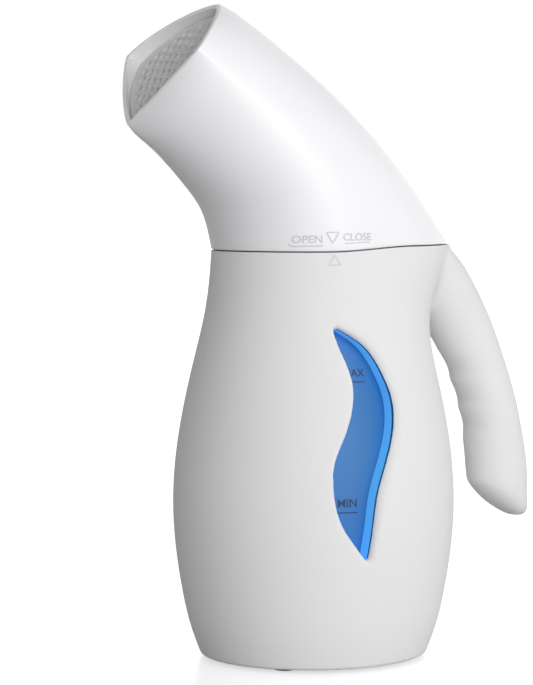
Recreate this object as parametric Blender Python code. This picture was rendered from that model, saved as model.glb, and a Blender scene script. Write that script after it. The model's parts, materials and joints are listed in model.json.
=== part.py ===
"""Handheld garment steamer: kettle-shaped body with a side handle, a bent steam head and a water window.

Sizes are in millimetres and turned to metres as each mesh is made. +Z is up, the nozzle points to -X,
the handle stands at +X, and the water window is on the -Y side. The origin is under the middle of the
whole object, on the table.
"""

import math

import bmesh
import bpy
import numpy as np
from mathutils import Matrix, Vector

MM = 0.001

# Overall sizes
SEAM_Z = 157.2  # height of the joint between body and head, at the front
BODY_HALF_LENGTH = 55.1
BODY_HALF_DEPTH = 51.8
HEAD_RISE = 92.8  # from the seam to the top of the nozzle rim
FINGER_GAP = 16.0  # clear space between the body's widest point and the handle
HANDLE_HALF_THICK = 12.3
TABLE_GAP = 1.0  # height of the body's lower edge above the table

# Walls and clearances
WALL = 2.2
GAP = 0.3
TANK_GAP = 0.8
TANK_WALL = 1.8
WIRE_CHANNEL = 6.0

# Seam
SEAM_STEP = 1.8  # the rear of the seam is this much higher than the front
SEAM_STEP_START = -14.0
SEAM_STEP_LENGTH = 38.0
NECK_FLARE = 16.0  # how far the body's rear stands out at the seam

# Bayonet
LOCK_R = 26.8
LOCK_TURN = 35.0
LOCK_LIFT = 3.2
LUG_HALF_ANGLE = 12.0
NECK_RING_R = 31.5

# Button
BUTTON_R = 4.6
BUTTON_TRAVEL = 1.8
BUTTON_SHARE = 0.20  # where the button sits along the handle's path

# Window
WINDOW_HEIGHT = 88.0
WINDOW_CENTRE = (-5.0, 86.0)
WINDOW_DEPTH = 8.5

# Boiler
CUP_R = 19.7
CUP_FLOOR_Z = 14.0
TANK_FLOOR_Z = 26.0
RISER_R = 6.0

# Nozzle
MOUTH_HALF_WIDTH = 32.0
MOUTH_BULGE = 6.2  # how far the rim's sides stand out from the line between its corners

# Half length of the body against height, as shares of the widest half length and of the seam height.
BODY_PROFILE = (
    (0.000, 0.797), (0.076, 0.877), (0.159, 0.933), (0.254, 0.976), (0.369, 1.000),
    (0.477, 0.987), (0.604, 0.933), (0.732, 0.851), (0.859, 0.768), (1.000, 0.726),
)
# Share of the neck flare against the share of the seam height.
FLARE_PROFILE = ((0.60, 0.0), (0.72, 0.01), (0.80, 0.10), (0.88, 0.40), (0.94, 0.74), (1.0, 1.0))
# Handle centre line: share of its reach, share of the seam height, share of the thickness, half width.
HANDLE_PATH = (
    (0.430, 1.035, 0.94, 24.0), (0.520, 0.982, 0.96, 20.5), (0.620, 0.929, 1.02, 17.5),
    (0.710, 0.865, 1.02, 15.0), (0.782, 0.807, 0.98, 13.4), (0.836, 0.752, 0.94, 12.8),
    (0.882, 0.694, 0.92, 12.6), (0.922, 0.635, 0.92, 12.6), (0.955, 0.573, 0.93, 12.6),
    (0.978, 0.509, 0.96, 12.6), (0.990, 0.466, 0.99, 12.4), (0.999, 0.424, 1.00, 12.2),
)
# The rounded lower end: share of the reach, of the seam height and of the section, lean of the section.
HANDLE_END = (
    (1.010, 0.384, 0.94, -0.12), (1.040, 0.352, 0.77, -0.16),
    (1.078, 0.327, 0.50, -0.10), (1.104, 0.312, 0.20, 0.0),
)
# Head outline in the middle plane: x and height above the seam, as shares of HEAD_RISE.
HEAD_TOP = ((0.600, 0.020), (0.368, 0.319), (0.135, 0.561), (-0.090, 0.753), (-0.335, 0.935), (-0.444, 1.000))
HEAD_UNDER = (
    (-0.431, 0.000), (-0.468, 0.138), (-0.550, 0.254), (-0.687, 0.386), (-0.788, 0.458), (-0.846, 0.511),
)
# Window edges: x and height from the window's centre, as shares of its height.
WINDOW_LEFT = (
    (-0.085, 0.500), (-0.060, 0.399), (-0.025, 0.286), (-0.030, 0.161), (-0.076, 0.036),
    (-0.125, -0.073), (-0.134, -0.193), (-0.107, -0.319), (-0.041, -0.424), (0.018, -0.500),
)
WINDOW_RIGHT = (
    (-0.085, 0.500), (0.001, 0.446), (0.078, 0.376), (0.142, 0.256), (0.166, 0.160),
    (0.152, 0.040), (0.096, -0.110), (0.057, -0.227), (0.038, -0.360), (0.018, -0.500),
)
FINISHES = {
    "white_shell": ((0.88, 0.88, 0.89), 0.28, 0.0),
    "white_plain": ((0.80, 0.80, 0.81), 0.45, 0.0),
    "grey_plastic": ((0.30, 0.30, 0.33), 0.50, 0.0),
    "clear_blue": ((0.05, 0.33, 0.75), 0.20, 0.0),
    "silicone": ((0.55, 0.56, 0.58), 0.60, 0.0),
    "black_rubber": ((0.03, 0.03, 0.03), 0.75, 0.0),
    "cast_aluminium": ((0.60, 0.61, 0.62), 0.45, 1.0),
    "steel": ((0.62, 0.62, 0.62), 0.30, 1.0),
    "ceramic": ((0.82, 0.80, 0.74), 0.60, 0.0),
    "live_wire": ((0.30, 0.12, 0.04), 0.50, 0.0),
    "neutral_wire": ((0.03, 0.10, 0.45), 0.50, 0.0),
}


# ---------------------------------------------------------------- curves and outlines
def spline(knots):
    """A natural cubic through (x, y) knots with rising x, as a function of x."""
    x, y = np.array(knots, float).T
    step = np.diff(x)
    count = len(x)
    matrix = np.eye(count)
    right = np.zeros(count)
    for i in range(1, count - 1):
        matrix[i, i - 1:i + 2] = step[i - 1], 2 * (step[i - 1] + step[i]), step[i]
        right[i] = 6 * ((y[i + 1] - y[i]) / step[i] - (y[i] - y[i - 1]) / step[i - 1])
    bend = np.linalg.solve(matrix, right)

    def value(at):
        i = min(max(int(np.searchsorted(x, at)) - 1, 0), count - 2)
        a = x[i + 1] - at
        b = at - x[i]
        cubic = (bend[i] * a ** 3 + bend[i + 1] * b ** 3) / (6 * step[i])
        left = (y[i] / step[i] - bend[i] * step[i] / 6) * a
        right = (y[i + 1] / step[i] - bend[i + 1] * step[i] / 6) * b
        return float(cubic + left + right)

    return value


def path_splines(rows):
    """One spline for each column of rows, against an even 0 to 1."""
    places = np.linspace(0.0, 1.0, len(rows))
    return [spline(list(zip(places, column))) for column in zip(*rows)]


def smooth(share):
    """0 to 1 with level ends."""
    share = min(max(share, 0.0), 1.0)
    return share * share * (3 - 2 * share)


def seam_z(x):
    """Height of the seam at this x: a soft step up towards the handle."""
    return SEAM_Z + SEAM_STEP * smooth((x - SEAM_STEP_START) / SEAM_STEP_LENGTH)


body_profile = spline(BODY_PROFILE)
flare_profile = spline(FLARE_PROFILE)


def body_axes(z, inset=0.0):
    """(front, rear, side) half axes of the body's section at height z."""
    share = body_profile(z / SEAM_Z)
    flare = NECK_FLARE * max(flare_profile(z / SEAM_Z), 0.0) if z > 0.6 * SEAM_Z else 0.0
    length = BODY_HALF_LENGTH * share - inset
    return length, length + flare, BODY_HALF_DEPTH * share - inset


def oval(front, rear, side, z, count, height=None):
    """Points of an oval made of two half ellipses; height gives z from x where it isn't level."""
    ring = []
    for i in range(count):
        angle = 2 * math.pi * i / count
        x = (rear if math.cos(angle) > 0 else front) * math.cos(angle)
        ring.append((x, side * math.sin(angle), z if height is None else height(x)))
    return ring


def plain_oval(z, inset, count, rear_inset=0.0):
    """The body's section at z without the neck flare."""
    front, _, side = body_axes(z, inset)
    return oval(front, front - rear_inset, side, z, count)


def circle(radius, z, count, x=0.0, y=0.0):
    """A level circle of points about (x, y)."""
    turns = [2 * math.pi * i / count for i in range(count)]
    return [(x + radius * math.cos(t), y + radius * math.sin(t), z) for t in turns]


def window_outline(grow=0.0):
    """The window's S outline as (x, z) points, grown by a margin."""
    left_x, left_z = path_splines(WINDOW_LEFT)
    right_x, right_z = path_splines(WINDOW_RIGHT)
    shares = [i / 15 for i in range(16)]
    loop = [(left_x(s), left_z(s)) for s in shares[1:-1]]
    loop = [(right_x(s), right_z(s)) for s in reversed(shares)] + loop
    centre = Vector(WINDOW_CENTRE)
    points = [centre + WINDOW_HEIGHT * Vector(point) for point in loop]
    if not grow:
        return [tuple(p) for p in points]
    grown = []
    for i, point in enumerate(points):
        along = (points[(i + 1) % len(points)] - points[i - 1]).normalized()
        grown.append((point.x + along.y * grow, point.y - along.x * grow))
    return grown


# ---------------------------------------------------------------- meshes
def material(name):
    """The named finish as a Principled material."""
    if name in bpy.data.materials:
        return bpy.data.materials[name]
    colour, roughness, metallic = FINISHES[name]
    made = bpy.data.materials.new(name)
    made.use_nodes = True
    shader = made.node_tree.nodes["Principled BSDF"]
    shader.inputs["Base Color"].default_value = (*colour, 1.0)
    shader.inputs["Roughness"].default_value = roughness
    shader.inputs["Metallic"].default_value = metallic
    return made


def mesh_object(name, bm, finish=None, is_smooth=True):
    """Turns a bmesh in millimetres into an object in metres; with no finish it's a hidden cutter."""
    bmesh.ops.remove_doubles(bm, verts=bm.verts, dist=0.0001)
    bmesh.ops.recalc_face_normals(bm, faces=bm.faces)
    if bm.calc_volume(signed=True) < 0:
        bmesh.ops.reverse_faces(bm, faces=bm.faces)
    bmesh.ops.scale(bm, vec=(MM, MM, MM), verts=bm.verts)
    mesh = bpy.data.meshes.new(name)
    bm.to_mesh(mesh)
    bm.free()
    for face in mesh.polygons:
        face.use_smooth = is_smooth
    made = bpy.data.objects.new(name, mesh)
    bpy.context.collection.objects.link(made)
    if finish is None:
        made.hide_render = True
        made.display_type = "WIRE"
    else:
        mesh.materials.append(material(finish))
    return made


def loft(name, rings, finish=None, closed=False, is_smooth=True):
    """Skins equal rings of points, with capped ends or, in a closed loft, the last joined to the first."""
    bm = bmesh.new()
    rows = [[bm.verts.new(point) for point in ring] for ring in rings]
    count = len(rows[0])
    pairs = list(zip(rows, rows[1:])) + ([(rows[-1], rows[0])] if closed else [])
    for low, high in pairs:
        for i in range(count):
            j = (i + 1) % count
            bm.faces.new((low[i], low[j], high[j], high[i]))
    if not closed:
        for row in (rows[0], rows[-1]):
            middle = bm.verts.new(sum((v.co for v in row), Vector()) / count)
            for i in range(count):
                bm.faces.new((row[i], row[(i + 1) % count], middle))
    return mesh_object(name, bm, finish, is_smooth)


def tube_rings(profile, count, x=0.0, y=0.0):
    """Rings for a closed loft turned about a vertical axis: profile is (radius, z) round the section."""
    return [circle(radius, z, count, x, y) for radius, z in profile]


def turned(name, profile, finish=None, count=32, x=0.0, y=0.0):
    """A ring-shaped piece turned about a vertical axis from its closed section."""
    return loft(name, tube_rings(profile, count, x, y), finish, closed=True)


def stacked(name, profile, finish=None, count=24, x=0.0, y=0.0):
    """A solid turned piece: profile is (radius, z) from bottom to top."""
    return loft(name, tube_rings(profile, count, x, y), finish)


def aim(made, place, direction):
    """Moves a piece built on the vertical axis so that its axis runs along direction from place."""
    turn = Vector((0, 0, 1)).rotation_difference(Vector(direction)).to_matrix().to_4x4()
    made.data.transform(Matrix.Translation(Vector(place) * MM) @ turn)
    return made


def block(name, low, high, finish=None):
    """An upright box between two corners."""
    bm = bmesh.new()
    bmesh.ops.create_cube(bm, size=1.0)
    size = Vector(high) - Vector(low)
    bmesh.ops.scale(bm, vec=size, verts=bm.verts)
    bmesh.ops.translate(bm, vec=(Vector(high) + Vector(low)) / 2, verts=bm.verts)
    return mesh_object(name, bm, finish, is_smooth=False)


def prism(name, outline, y_low, y_high):
    """A prism along Y from an (x, z) outline."""
    return loft(name, [[(x, y, z) for x, z in outline] for y in (y_low, y_high)], is_smooth=False)


def combine(target, other, operation):
    """Applies one exact Boolean to target, and removes the other object."""
    modifier = target.modifiers.new("combine", "BOOLEAN")
    modifier.operation = operation
    modifier.solver = "EXACT"
    modifier.object = other
    depsgraph = bpy.context.evaluated_depsgraph_get()
    result = bpy.data.meshes.new_from_object(target.evaluated_get(depsgraph))
    target.modifiers.clear()
    old = target.data
    target.data = result
    bpy.data.meshes.remove(old)
    bpy.data.objects.remove(other)
    return target


def cut(target, other):
    """Takes the other solid away from target."""
    return combine(target, other, "DIFFERENCE")


def join(target, other):
    """Adds the other solid to target."""
    return combine(target, other, "UNION")


def common(target, other):
    """Leaves what both solids share."""
    return combine(target, other, "INTERSECT")


def tidy(made, angle=40.0):
    """Welds a Boolean's loose points and shades curved faces smooth and corners sharp."""
    bm = bmesh.new()
    bm.from_mesh(made.data)
    bmesh.ops.remove_doubles(bm, verts=bm.verts, dist=0.000002)
    bmesh.ops.dissolve_degenerate(bm, edges=bm.edges, dist=0.000001)
    for face in bm.faces:
        face.smooth = True
    for edge in bm.edges:
        edge.smooth = edge.calc_face_angle(0.0) < math.radians(angle)
    bm.to_mesh(made.data)
    bm.free()
    return made


# ---------------------------------------------------------------- body shells
def body_solid(name, inset, top_inset, low_z, count=36):
    """The body without its handle, drawn in by inset; top_inset lifts or lowers its upper end."""
    shares = (0.055, 0.16, 0.26, 0.37, 0.49, 0.61, 0.73, 0.82, 0.885, 0.945)
    levels = [low_z] + [s * SEAM_Z for s in shares if s * SEAM_Z > low_z + 2]
    rings = [oval(*body_axes(z, inset), z, count) for z in levels]
    front, rear, side = body_axes(SEAM_Z, inset)
    rings.append(oval(front, rear, side, 0, count, lambda x: seam_z(x) + top_inset))
    return loft(name, rings)


def handle_reach():
    """Distance from the body's axis to the handle's centre line."""
    return BODY_HALF_LENGTH + FINGER_GAP + HANDLE_HALF_THICK


def handle_rings(inset, count=18, steps=12):
    """Sections of the handle along its centre line, drawn in by inset."""
    path_x, path_z, thick, wide = path_splines(HANDLE_PATH)
    reach = handle_reach()
    rings = []
    for i in range(steps):
        t = i / (steps - 1)
        here = Vector((reach * path_x(t), SEAM_Z * path_z(t)))
        ahead = Vector((reach * path_x(t + 0.01), SEAM_Z * path_z(t + 0.01)))
        across = Vector((here.y - ahead.y, ahead.x - here.x)).normalized()
        half_thick = HANDLE_HALF_THICK * thick(t) - inset
        rings.append(handle_section(here, across, half_thick, wide(t) - inset, count))
    for x, z, share, lean in HANDLE_END:
        if inset and share < 0.9:
            break
        here = Vector((reach * x, SEAM_Z * z))
        across = Vector((1.0, lean)).normalized()
        half_thick = HANDLE_HALF_THICK * share - inset
        rings.append(handle_section(here, across, half_thick, 12.2 * share ** 0.7 - inset, count))
    return rings


def handle_section(centre, across, half_thick, half_wide, count):
    """An oval section about centre (x, z): across is the unit vector of its thickness."""
    ring = []
    for i in range(count):
        angle = 2 * math.pi * i / count
        out = half_thick * math.cos(angle)
        ring.append((centre.x + across.x * out, half_wide * math.sin(angle), centre.y + across.y * out))
    return ring


def button_axis():
    """(place, direction) of the button's axis: on the skin at the back of the neck, pointing out."""
    path_x, path_z, thick, _ = path_splines(HANDLE_PATH)
    t = BUTTON_SHARE
    reach = handle_reach()
    here = Vector((reach * path_x(t), SEAM_Z * path_z(t)))
    ahead = Vector((reach * path_x(t + 0.01), SEAM_Z * path_z(t + 0.01)))
    across = Vector((here.y - ahead.y, ahead.x - here.x)).normalized()
    place = here + across * HANDLE_HALF_THICK * thick(t)
    return Vector((place.x, 0, place.y)), Vector((across.x, 0, across.y))


def handle_screw_places():
    """(x, z) of the three screws that hold the shells together along the handle."""
    path_x, path_z, _, _ = path_splines(HANDLE_PATH)
    reach = handle_reach()
    return [(reach * path_x(t), SEAM_Z * path_z(t)) for t in (0.36, 0.66, 0.94)]


CORNERS = ((-1, -1), (-1, 1), (1, -1), (1, 1))
BASE_SCREWS = tuple((x * 0.617 * BODY_HALF_LENGTH, y * 10.0) for x, y in CORNERS)
FEET = tuple((x * 0.454 * BODY_HALF_LENGTH, y * 0.463 * BODY_HALF_DEPTH) for x, y in CORNERS)
BASE_Z = (TABLE_GAP, TABLE_GAP + 3.4)


def outer_solid(name, inset=0.0):
    """Body and handle as one solid, up to just under the seam."""
    made = body_solid(name, inset, -0.2, TABLE_GAP)
    handle = loft(name + "_handle", handle_rings(inset))
    rings = [oval(200, 200, 200, 0, 40, lambda x, up=up: seam_z(x) - 0.2 + up) for up in (0, 60)]
    return join(made, cut(handle, loft(name + "_top", rings)))


def half_shell(name, side):
    """One moulded half of the body and handle, with its posts, made at +Y and mirrored for the other side."""
    shell = outer_solid(name)
    inner = body_solid(name + "_in", WALL, 5.0, TABLE_GAP - 1.0)
    inner = join(inner, loft(name + "_in_handle", handle_rings(WALL, 14, 10)))
    shell = cut(shell, inner)
    shell = cut(shell, block("other_half", (-210, -190, -53), (207, GAP / 2, 397)))
    for x, z in handle_screw_places():
        post = stacked("post", ((3.9, GAP / 2), (3.9, 11.3)), count=12)
        shell = join(shell, aim(post, (x, 0, z), (0, 1, 0)))
    for x, y in BASE_SCREWS:
        if y > 0:
            shell = join(shell, base_post(x, y))
    ledge = block("ledge", (-7, NECK_RING_R + 0.7, 143), (7, 60, 147.6))
    shell = join(shell, common(ledge, body_solid("trim", 0.8, 0, TABLE_GAP)))
    if side < 0:
        mirror(shell)
    return shell


def mirror(made):
    """Turns a solid into its mirror image across the middle plane."""
    made.data.transform(Matrix.Scale(-1, 4, (0, 1, 0)))
    made.data.flip_normals()


def base_post(x, y):
    """A post for a base screw, with a web to the wall, trimmed to the body's skin."""
    post = stacked("base_post", ((3.8, BASE_Z[1] + GAP), (3.8, 15.0)), count=12, x=x, y=y)
    reach = 70 if x > 0 else -70
    web = block("web", (min(x, reach), y - 1.2, BASE_Z[1] + 1.0), (max(x, reach), y + 1.2, 14.5))
    return common(join(post, web), body_solid("trim", 0.8, 0, TABLE_GAP))


def drill_shell(shell, side):
    """Cuts the holes that both halves share, and the screw holes."""
    place, out = button_axis()
    button_hole = stacked("hole", ((BUTTON_R + GAP, -12), (BUTTON_R + GAP, 6)))
    shell = cut(shell, aim(button_hole, place, out))
    gland = stacked("hole", ((4.5, -12), (4.5, 12)))
    shell = cut(shell, aim(gland, (body_axes(14.0)[1], 0, 14.0), (1, 0, 0)))
    for x, z in handle_screw_places():
        pilot = stacked("hole", ((1.7, -1), (1.7, 8.0)), count=12)
        shell = cut(shell, aim(pilot, (x, 0, z), (0, side, 0)))
        if side > 0:
            head_hole = stacked("hole", ((3.3, 6.6), (3.3, 20)), count=16)
            shell = cut(shell, aim(head_hole, (x, 0, z), (0, 1, 0)))
    for x, y in BASE_SCREWS:
        if y * side > 0:
            shell = cut(shell, stacked("hole", ((1.7, 0), (1.7, 12.5)), count=12, x=x, y=y))
    return shell


def make_shells():
    """The two halves of the body; the near one has the window opening."""
    left = half_shell("left_body_shell", -1)
    left = cut(left, prism("window_hole", window_outline(), -90, -20))
    right = half_shell("right_body_shell", 1)
    for made, side in ((left, -1), (right, 1)):
        made = drill_shell(made, side)
        made.data.materials.clear()
        made.data.materials.append(material("white_shell"))
        made.hide_render = False
        made.display_type = "TEXTURED"
        tidy(made)


# ---------------------------------------------------------------- base
def make_base():
    """The bottom cover with its feet and screws, and the cord gland."""
    rings = [oval(*body_axes(z, WALL + GAP), z, 36) for z in BASE_Z]
    cover = loft("base_cover", rings, "white_plain")
    for x, y in BASE_SCREWS:
        cover = cut(cover, stacked("hole", ((1.7, 0), (1.7, 8)), count=12, x=x, y=y))
        cover = cut(cover, stacked("hole", ((3.1, 0), (3.1, TABLE_GAP + 2.0)), count=12, x=x, y=y))
    for x, y in FEET:
        cover = cut(cover, stacked("hole", ((4.8, 0), (4.8, TABLE_GAP + 1.2)), count=14, x=x, y=y))
    tidy(cover)
    for number, (x, y) in enumerate(FEET, 1):
        profile = ((4.1, 0), (4.5, 0.4), (4.5, TABLE_GAP + 1.2 - GAP))
        stacked(f"foot_{number}", profile, "black_rubber", 14, x, y)
    for number, (x, y) in enumerate(BASE_SCREWS, 1):
        low = TABLE_GAP + 2.0 - GAP
        profile = ((2.8, low - 1.4), (2.8, low), (1.4, low), (1.4, low + 8.4))
        stacked(f"base_screw_{number}", profile, "steel", 10, x, y)
    wall_x = body_axes(14.0)[1]
    profile = ((3.1, -8), (5.6, -8), (5.6, -5.4), (4.2, -5.4), (4.2, -0.5), (3.1, -0.5))
    gland = turned("cord_gland", profile, "grey_plastic", 16)
    aim(gland, (wall_x, 0, 14.0), (1, 0, 0))


def make_handle_screws():
    """The three screws along the handle."""
    profile = ((1.4, -7.0), (1.4, 6.9), (3.0, 6.9), (3.0, 8.6), (2.3, 9.0))
    for number, (x, z) in enumerate(handle_screw_places(), 1):
        aim(stacked(f"handle_screw_{number}", profile, "steel", 10), (x, 0, z), (0, 1, 0))


# ---------------------------------------------------------------- tank and boiler
def tank_rings(inset, low, high, count, rear=0.0):
    """Level sections of the tank between two heights."""
    steps = 8
    heights = [low + (high - low) * i / (steps - 1) for i in range(steps)]
    return [plain_oval(z, inset, count, rear) for z in heights]


def make_tank():
    """The blue water tank: a cup with an S-shaped pocket that shows the water through the window."""
    inset = WALL + TANK_GAP
    top = SEAM_Z - 17.0
    tank = loft("water_tank", tank_rings(inset, TANK_FLOOR_Z, top, 32, WIRE_CHANNEL), "clear_blue")
    collar = prism("collar", window_outline(TANK_WALL), -90, -25)
    tank = join(tank, common(collar, loft("reach", tank_rings(WALL + GAP + 0.3, TANK_FLOOR_Z, top, 36))))
    low = TANK_FLOOR_Z + TANK_WALL
    hollow = loft("hollow", tank_rings(inset + TANK_WALL, low, top + 4, 28, WIRE_CHANNEL))
    thick = cut(prism("pocket_wall", window_outline(TANK_WALL), -90, -20),
                loft("deep", tank_rings(WINDOW_DEPTH + TANK_WALL, TANK_FLOOR_Z - 2, top + 8, 28)))
    tank = cut(tank, cut(hollow, thick))
    pocket = cut(prism("pocket", window_outline(), -90, -20),
                 loft("deep", tank_rings(WINDOW_DEPTH, TANK_FLOOR_Z - 2, top + 8, 28)))
    tank = cut(tank, pocket)
    cup_r = CUP_R + 0.5
    tank = cut(tank, stacked("hole", ((cup_r, TANK_FLOOR_Z - 4), (cup_r, TANK_FLOOR_Z + 6)), count=32))
    tidy(tank)


def make_boiler():
    """The boiler under the tank: cup, gasket, cap, element, thermostat and fuse."""
    low = CUP_FLOOR_Z
    flange = TANK_FLOOR_Z - 5.0
    rim = TANK_FLOOR_Z + 4.5
    wide = CUP_R + 4.8
    profile = ((CUP_R, low), (CUP_R, flange), (wide, flange), (wide, flange + 2.4), (CUP_R, flange + 2.4),
               (CUP_R, rim))
    cup = stacked("boiler_cup", profile, "cast_aluminium", 32)
    cup = cut(cup, stacked("hole", ((CUP_R - 2.2, low + 2.6), (CUP_R - 2.2, rim + 2)), count=32))
    tidy(cup)
    low = flange + 2.4 + GAP
    high = TANK_FLOOR_Z - GAP
    profile = ((CUP_R + 0.4, low), (CUP_R + 4.6, low), (CUP_R + 4.6, high), (CUP_R + 0.4, high))
    turned("boiler_gasket", profile, "silicone", 24)
    cap_z = rim + GAP
    neck = RISER_R + 2.2
    profile = ((CUP_R, cap_z), (CUP_R, cap_z + 2.5), (CUP_R - 5, cap_z + 6), (neck, cap_z + 8),
               (neck, cap_z + 16))
    cap = stacked("boiler_cap", profile, "white_plain", 24)
    cap = cut(cap, stacked("hole", ((RISER_R + GAP, cap_z + 6), (RISER_R + GAP, cap_z + 30)), count=16))
    cap = cut(cap, stacked("hole", ((RISER_R - 1.5, cap_z - 3), (RISER_R - 1.5, cap_z + 8)), count=16))
    for turn in (0, 120, 240):
        angle = math.radians(turn + 30)
        x, y = 13.0 * math.cos(angle), 13.0 * math.sin(angle)
        cap = cut(cap, stacked("hole", ((1.6, cap_z - 2), (1.6, cap_z + 12)), count=10, x=x, y=y))
    tidy(cap)
    low = cap_z + 6 + GAP
    high = SEAM_Z - 3.0
    profile = ((RISER_R - 1.4, low), (RISER_R, low), (RISER_R, high), (RISER_R - 1.4, high))
    turned("steam_riser", profile, "white_plain", 20)
    make_element()
    make_block_and_fuse()


def make_element():
    """The tubular heating element under the cup, an open ring with two cold ends turned down the rear."""
    radius = CUP_R - 4.6
    points = []
    for i in range(21):
        angle = math.radians(22 + 316 * i / 20)
        points.append(Vector((radius * math.cos(angle), radius * math.sin(angle), CUP_FLOOR_Z - 3.1)))
    first = points[0] + Vector((9.0, 0.0, 0.0))
    last = points[-1] + Vector((9.0, 0.0, 0.0))
    sweep("heating_element", [first] + points + [last], 2.8, 10, "steel")
    low = CUP_FLOOR_Z - 5.6
    stacked("thermostat", ((6.0, low), (8.0, low), (8.0, CUP_FLOOR_Z - GAP)), "ceramic", 24)


def make_block_and_fuse():
    """The terminal block and the thermal fuse beside the boiler."""
    z = BASE_Z[1] + GAP
    block("terminal_block", (-CUP_R - 18.0, -6.0, z), (-CUP_R - 8.0, 6.0, z + 9.0), "ceramic")
    fuse = stacked("thermal_fuse", ((1.0, -9), (2.0, -7), (2.0, 7), (1.0, 9)), "steel", 12)
    aim(fuse, (0, CUP_R + 8.0, z + 4.0), (1, 0, 0))


def sweep(name, points, radius, count, finish):
    """A round rod along points."""
    rings = []
    normal = None
    for i, point in enumerate(points):
        along = (points[min(i + 1, len(points) - 1)] - points[max(i - 1, 0)]).normalized()
        normal = along.orthogonal() if normal is None else normal - along * normal.dot(along)
        normal = normal.normalized()
        side = along.cross(normal)
        turns = [2 * math.pi * k / count for k in range(count)]
        rings.append([point + radius * (math.cos(t) * normal + math.sin(t) * side) for t in turns])
    return loft(name, rings, finish)


def make_wires():
    """The two wires that run up behind the tank to the switch."""
    for name, y in (("live_wire", 3.0), ("neutral_wire", -3.0)):
        points = [Vector((body_axes(21.5)[0] - WALL - 4.6, y, 21.5))]
        for share in (0.20, 0.30, 0.41, 0.52, 0.63, 0.74, 0.82):
            points.append(Vector((body_axes(share * SEAM_Z)[0] - WALL - 3.2, y, share * SEAM_Z)))
        sweep(name, points, 1.0, 6, name)


# ---------------------------------------------------------------- neck and button
def ring_sector(name, low_angle, high_angle, low_z, high_z, inner, outer, steps=5):
    """A block of an upright ring between two angles, in degrees."""
    rings = []
    for i in range(steps):
        angle = math.radians(low_angle + (high_angle - low_angle) * i / (steps - 1))
        x, y = math.cos(angle), math.sin(angle)
        corners = ((inner, low_z), (outer, low_z), (outer, high_z), (inner, high_z))
        rings.append([(r * x, r * y, z) for r, z in corners])
    return loft(name, rings)


LUG_Z = (SEAM_Z - 9.5, SEAM_Z - 7.0)
LUG_OUT = 1.8


def make_neck():
    """The bayonet ring in the body's mouth and the button with its switch."""
    bore = LOCK_R + 0.5
    low, high = SEAM_Z - 14.0, SEAM_Z - 1.2
    flange = NECK_RING_R + 3.1
    profile = ((bore, low), (NECK_RING_R, low), (NECK_RING_R, low + 5), (flange, low + 5),
               (flange, low + 7.4), (NECK_RING_R, low + 7.4), (NECK_RING_R, high), (bore, high))
    ring = turned("neck_ring", profile, "white_plain", 36)
    for turn in (90, 210, 330):
        start = turn - LUG_HALF_ANGLE - LOCK_TURN - 4
        top = LUG_Z[1] + LOCK_LIFT + 0.8
        deep = LOCK_R + LUG_OUT + 0.5
        end = turn + LUG_HALF_ANGLE + 3
        ring = cut(ring, ring_sector("slot", start, end, LUG_Z[0] - 0.4, top, bore - 2, deep, 7))
        end = start + 2 * LUG_HALF_ANGLE + 8
        ring = cut(ring, ring_sector("entry", start, end, LUG_Z[0] + 1, high + 5, bore - 2, deep))
    tidy(ring)
    place, out = button_axis()
    profile = ((3.0, -6.4), (3.0, -5.4), (5.8, -5.4), (5.8, -4.4), (BUTTON_R, -4.4), (BUTTON_R, 0.0),
               (BUTTON_R - 0.6, 0.5), (2.0, 0.8))
    button = stacked("power_button", profile, "white_plain", 20)
    aim(button, place, out)
    switch_top = -6.8 - BUTTON_TRAVEL
    switch = block("switch_body", (-4.2, -5.5, switch_top - 7.6), (4.2, 5.5, switch_top), "grey_plastic")
    aim(switch, place, out)


# ---------------------------------------------------------------- head
head_top_x, head_top_z = path_splines(HEAD_TOP)
head_under_x, head_under_z = path_splines(HEAD_UNDER)


def head_ring(share, inset=0.0, count=32):
    """One section of the head between seam (0) and rim (1), drawn in by inset."""
    top = Vector((HEAD_RISE * head_top_x(share), SEAM_Z + HEAD_RISE * head_top_z(share)))
    under = Vector((HEAD_RISE * head_under_x(share), SEAM_Z + HEAD_RISE * head_under_z(share)))
    along = (top - under).normalized()
    out = Vector((-along.y, along.x))
    length = (top - under).length - 2 * inset
    under += along * inset
    seam_side = BODY_HALF_DEPTH * body_profile(1.0)
    side = seam_side + (MOUTH_HALF_WIDTH - seam_side) * smooth(share * 1.1) - inset
    near_seam = max(1 - share / 0.6, 0.0) ** 2
    seam_length = (HEAD_TOP[0][0] - HEAD_UNDER[0][0]) * HEAD_RISE
    front_share = BODY_HALF_LENGTH * body_profile(1.0) / seam_length
    middle = length * (0.5 + (front_share - 0.5) * near_seam)
    late = max((share - 0.4) / 0.6, 0.0) ** 1.5
    bulge = MOUTH_BULGE * max((share - 0.5) / 0.5, 0.0) ** 2
    ring = []
    for i in range(count):
        angle = 2 * math.pi * i / count
        cosine, sine = math.cos(angle), math.sin(angle)
        power = 2 / (2 - (0.55 if cosine > 0 else 0.85) * late)
        cosine = math.copysign(abs(cosine) ** power, cosine)
        sine = math.copysign(abs(sine) ** power, sine)
        distance = middle + cosine * ((length - middle) if cosine > 0 else middle)
        flat = under + along * distance + out * bulge * abs(sine)
        ring.append(Vector((flat.x, side * sine, flat.y)))
    return ring


def settle_on_seam(ring, share, lift):
    """Lays the first sections on the seam's surface instead of on the straight line from front to rear."""
    weight = max(1 - share / 0.15, 0.0)
    slope = HEAD_TOP[0][1] / (HEAD_TOP[0][0] - HEAD_UNDER[0][0])
    straight = [SEAM_Z + (p.x - HEAD_UNDER[0][0] * HEAD_RISE) * slope for p in ring]
    return [Vector((p.x, p.y, p.z + weight * (seam_z(p.x) + lift - z))) for p, z in zip(ring, straight)]


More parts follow.
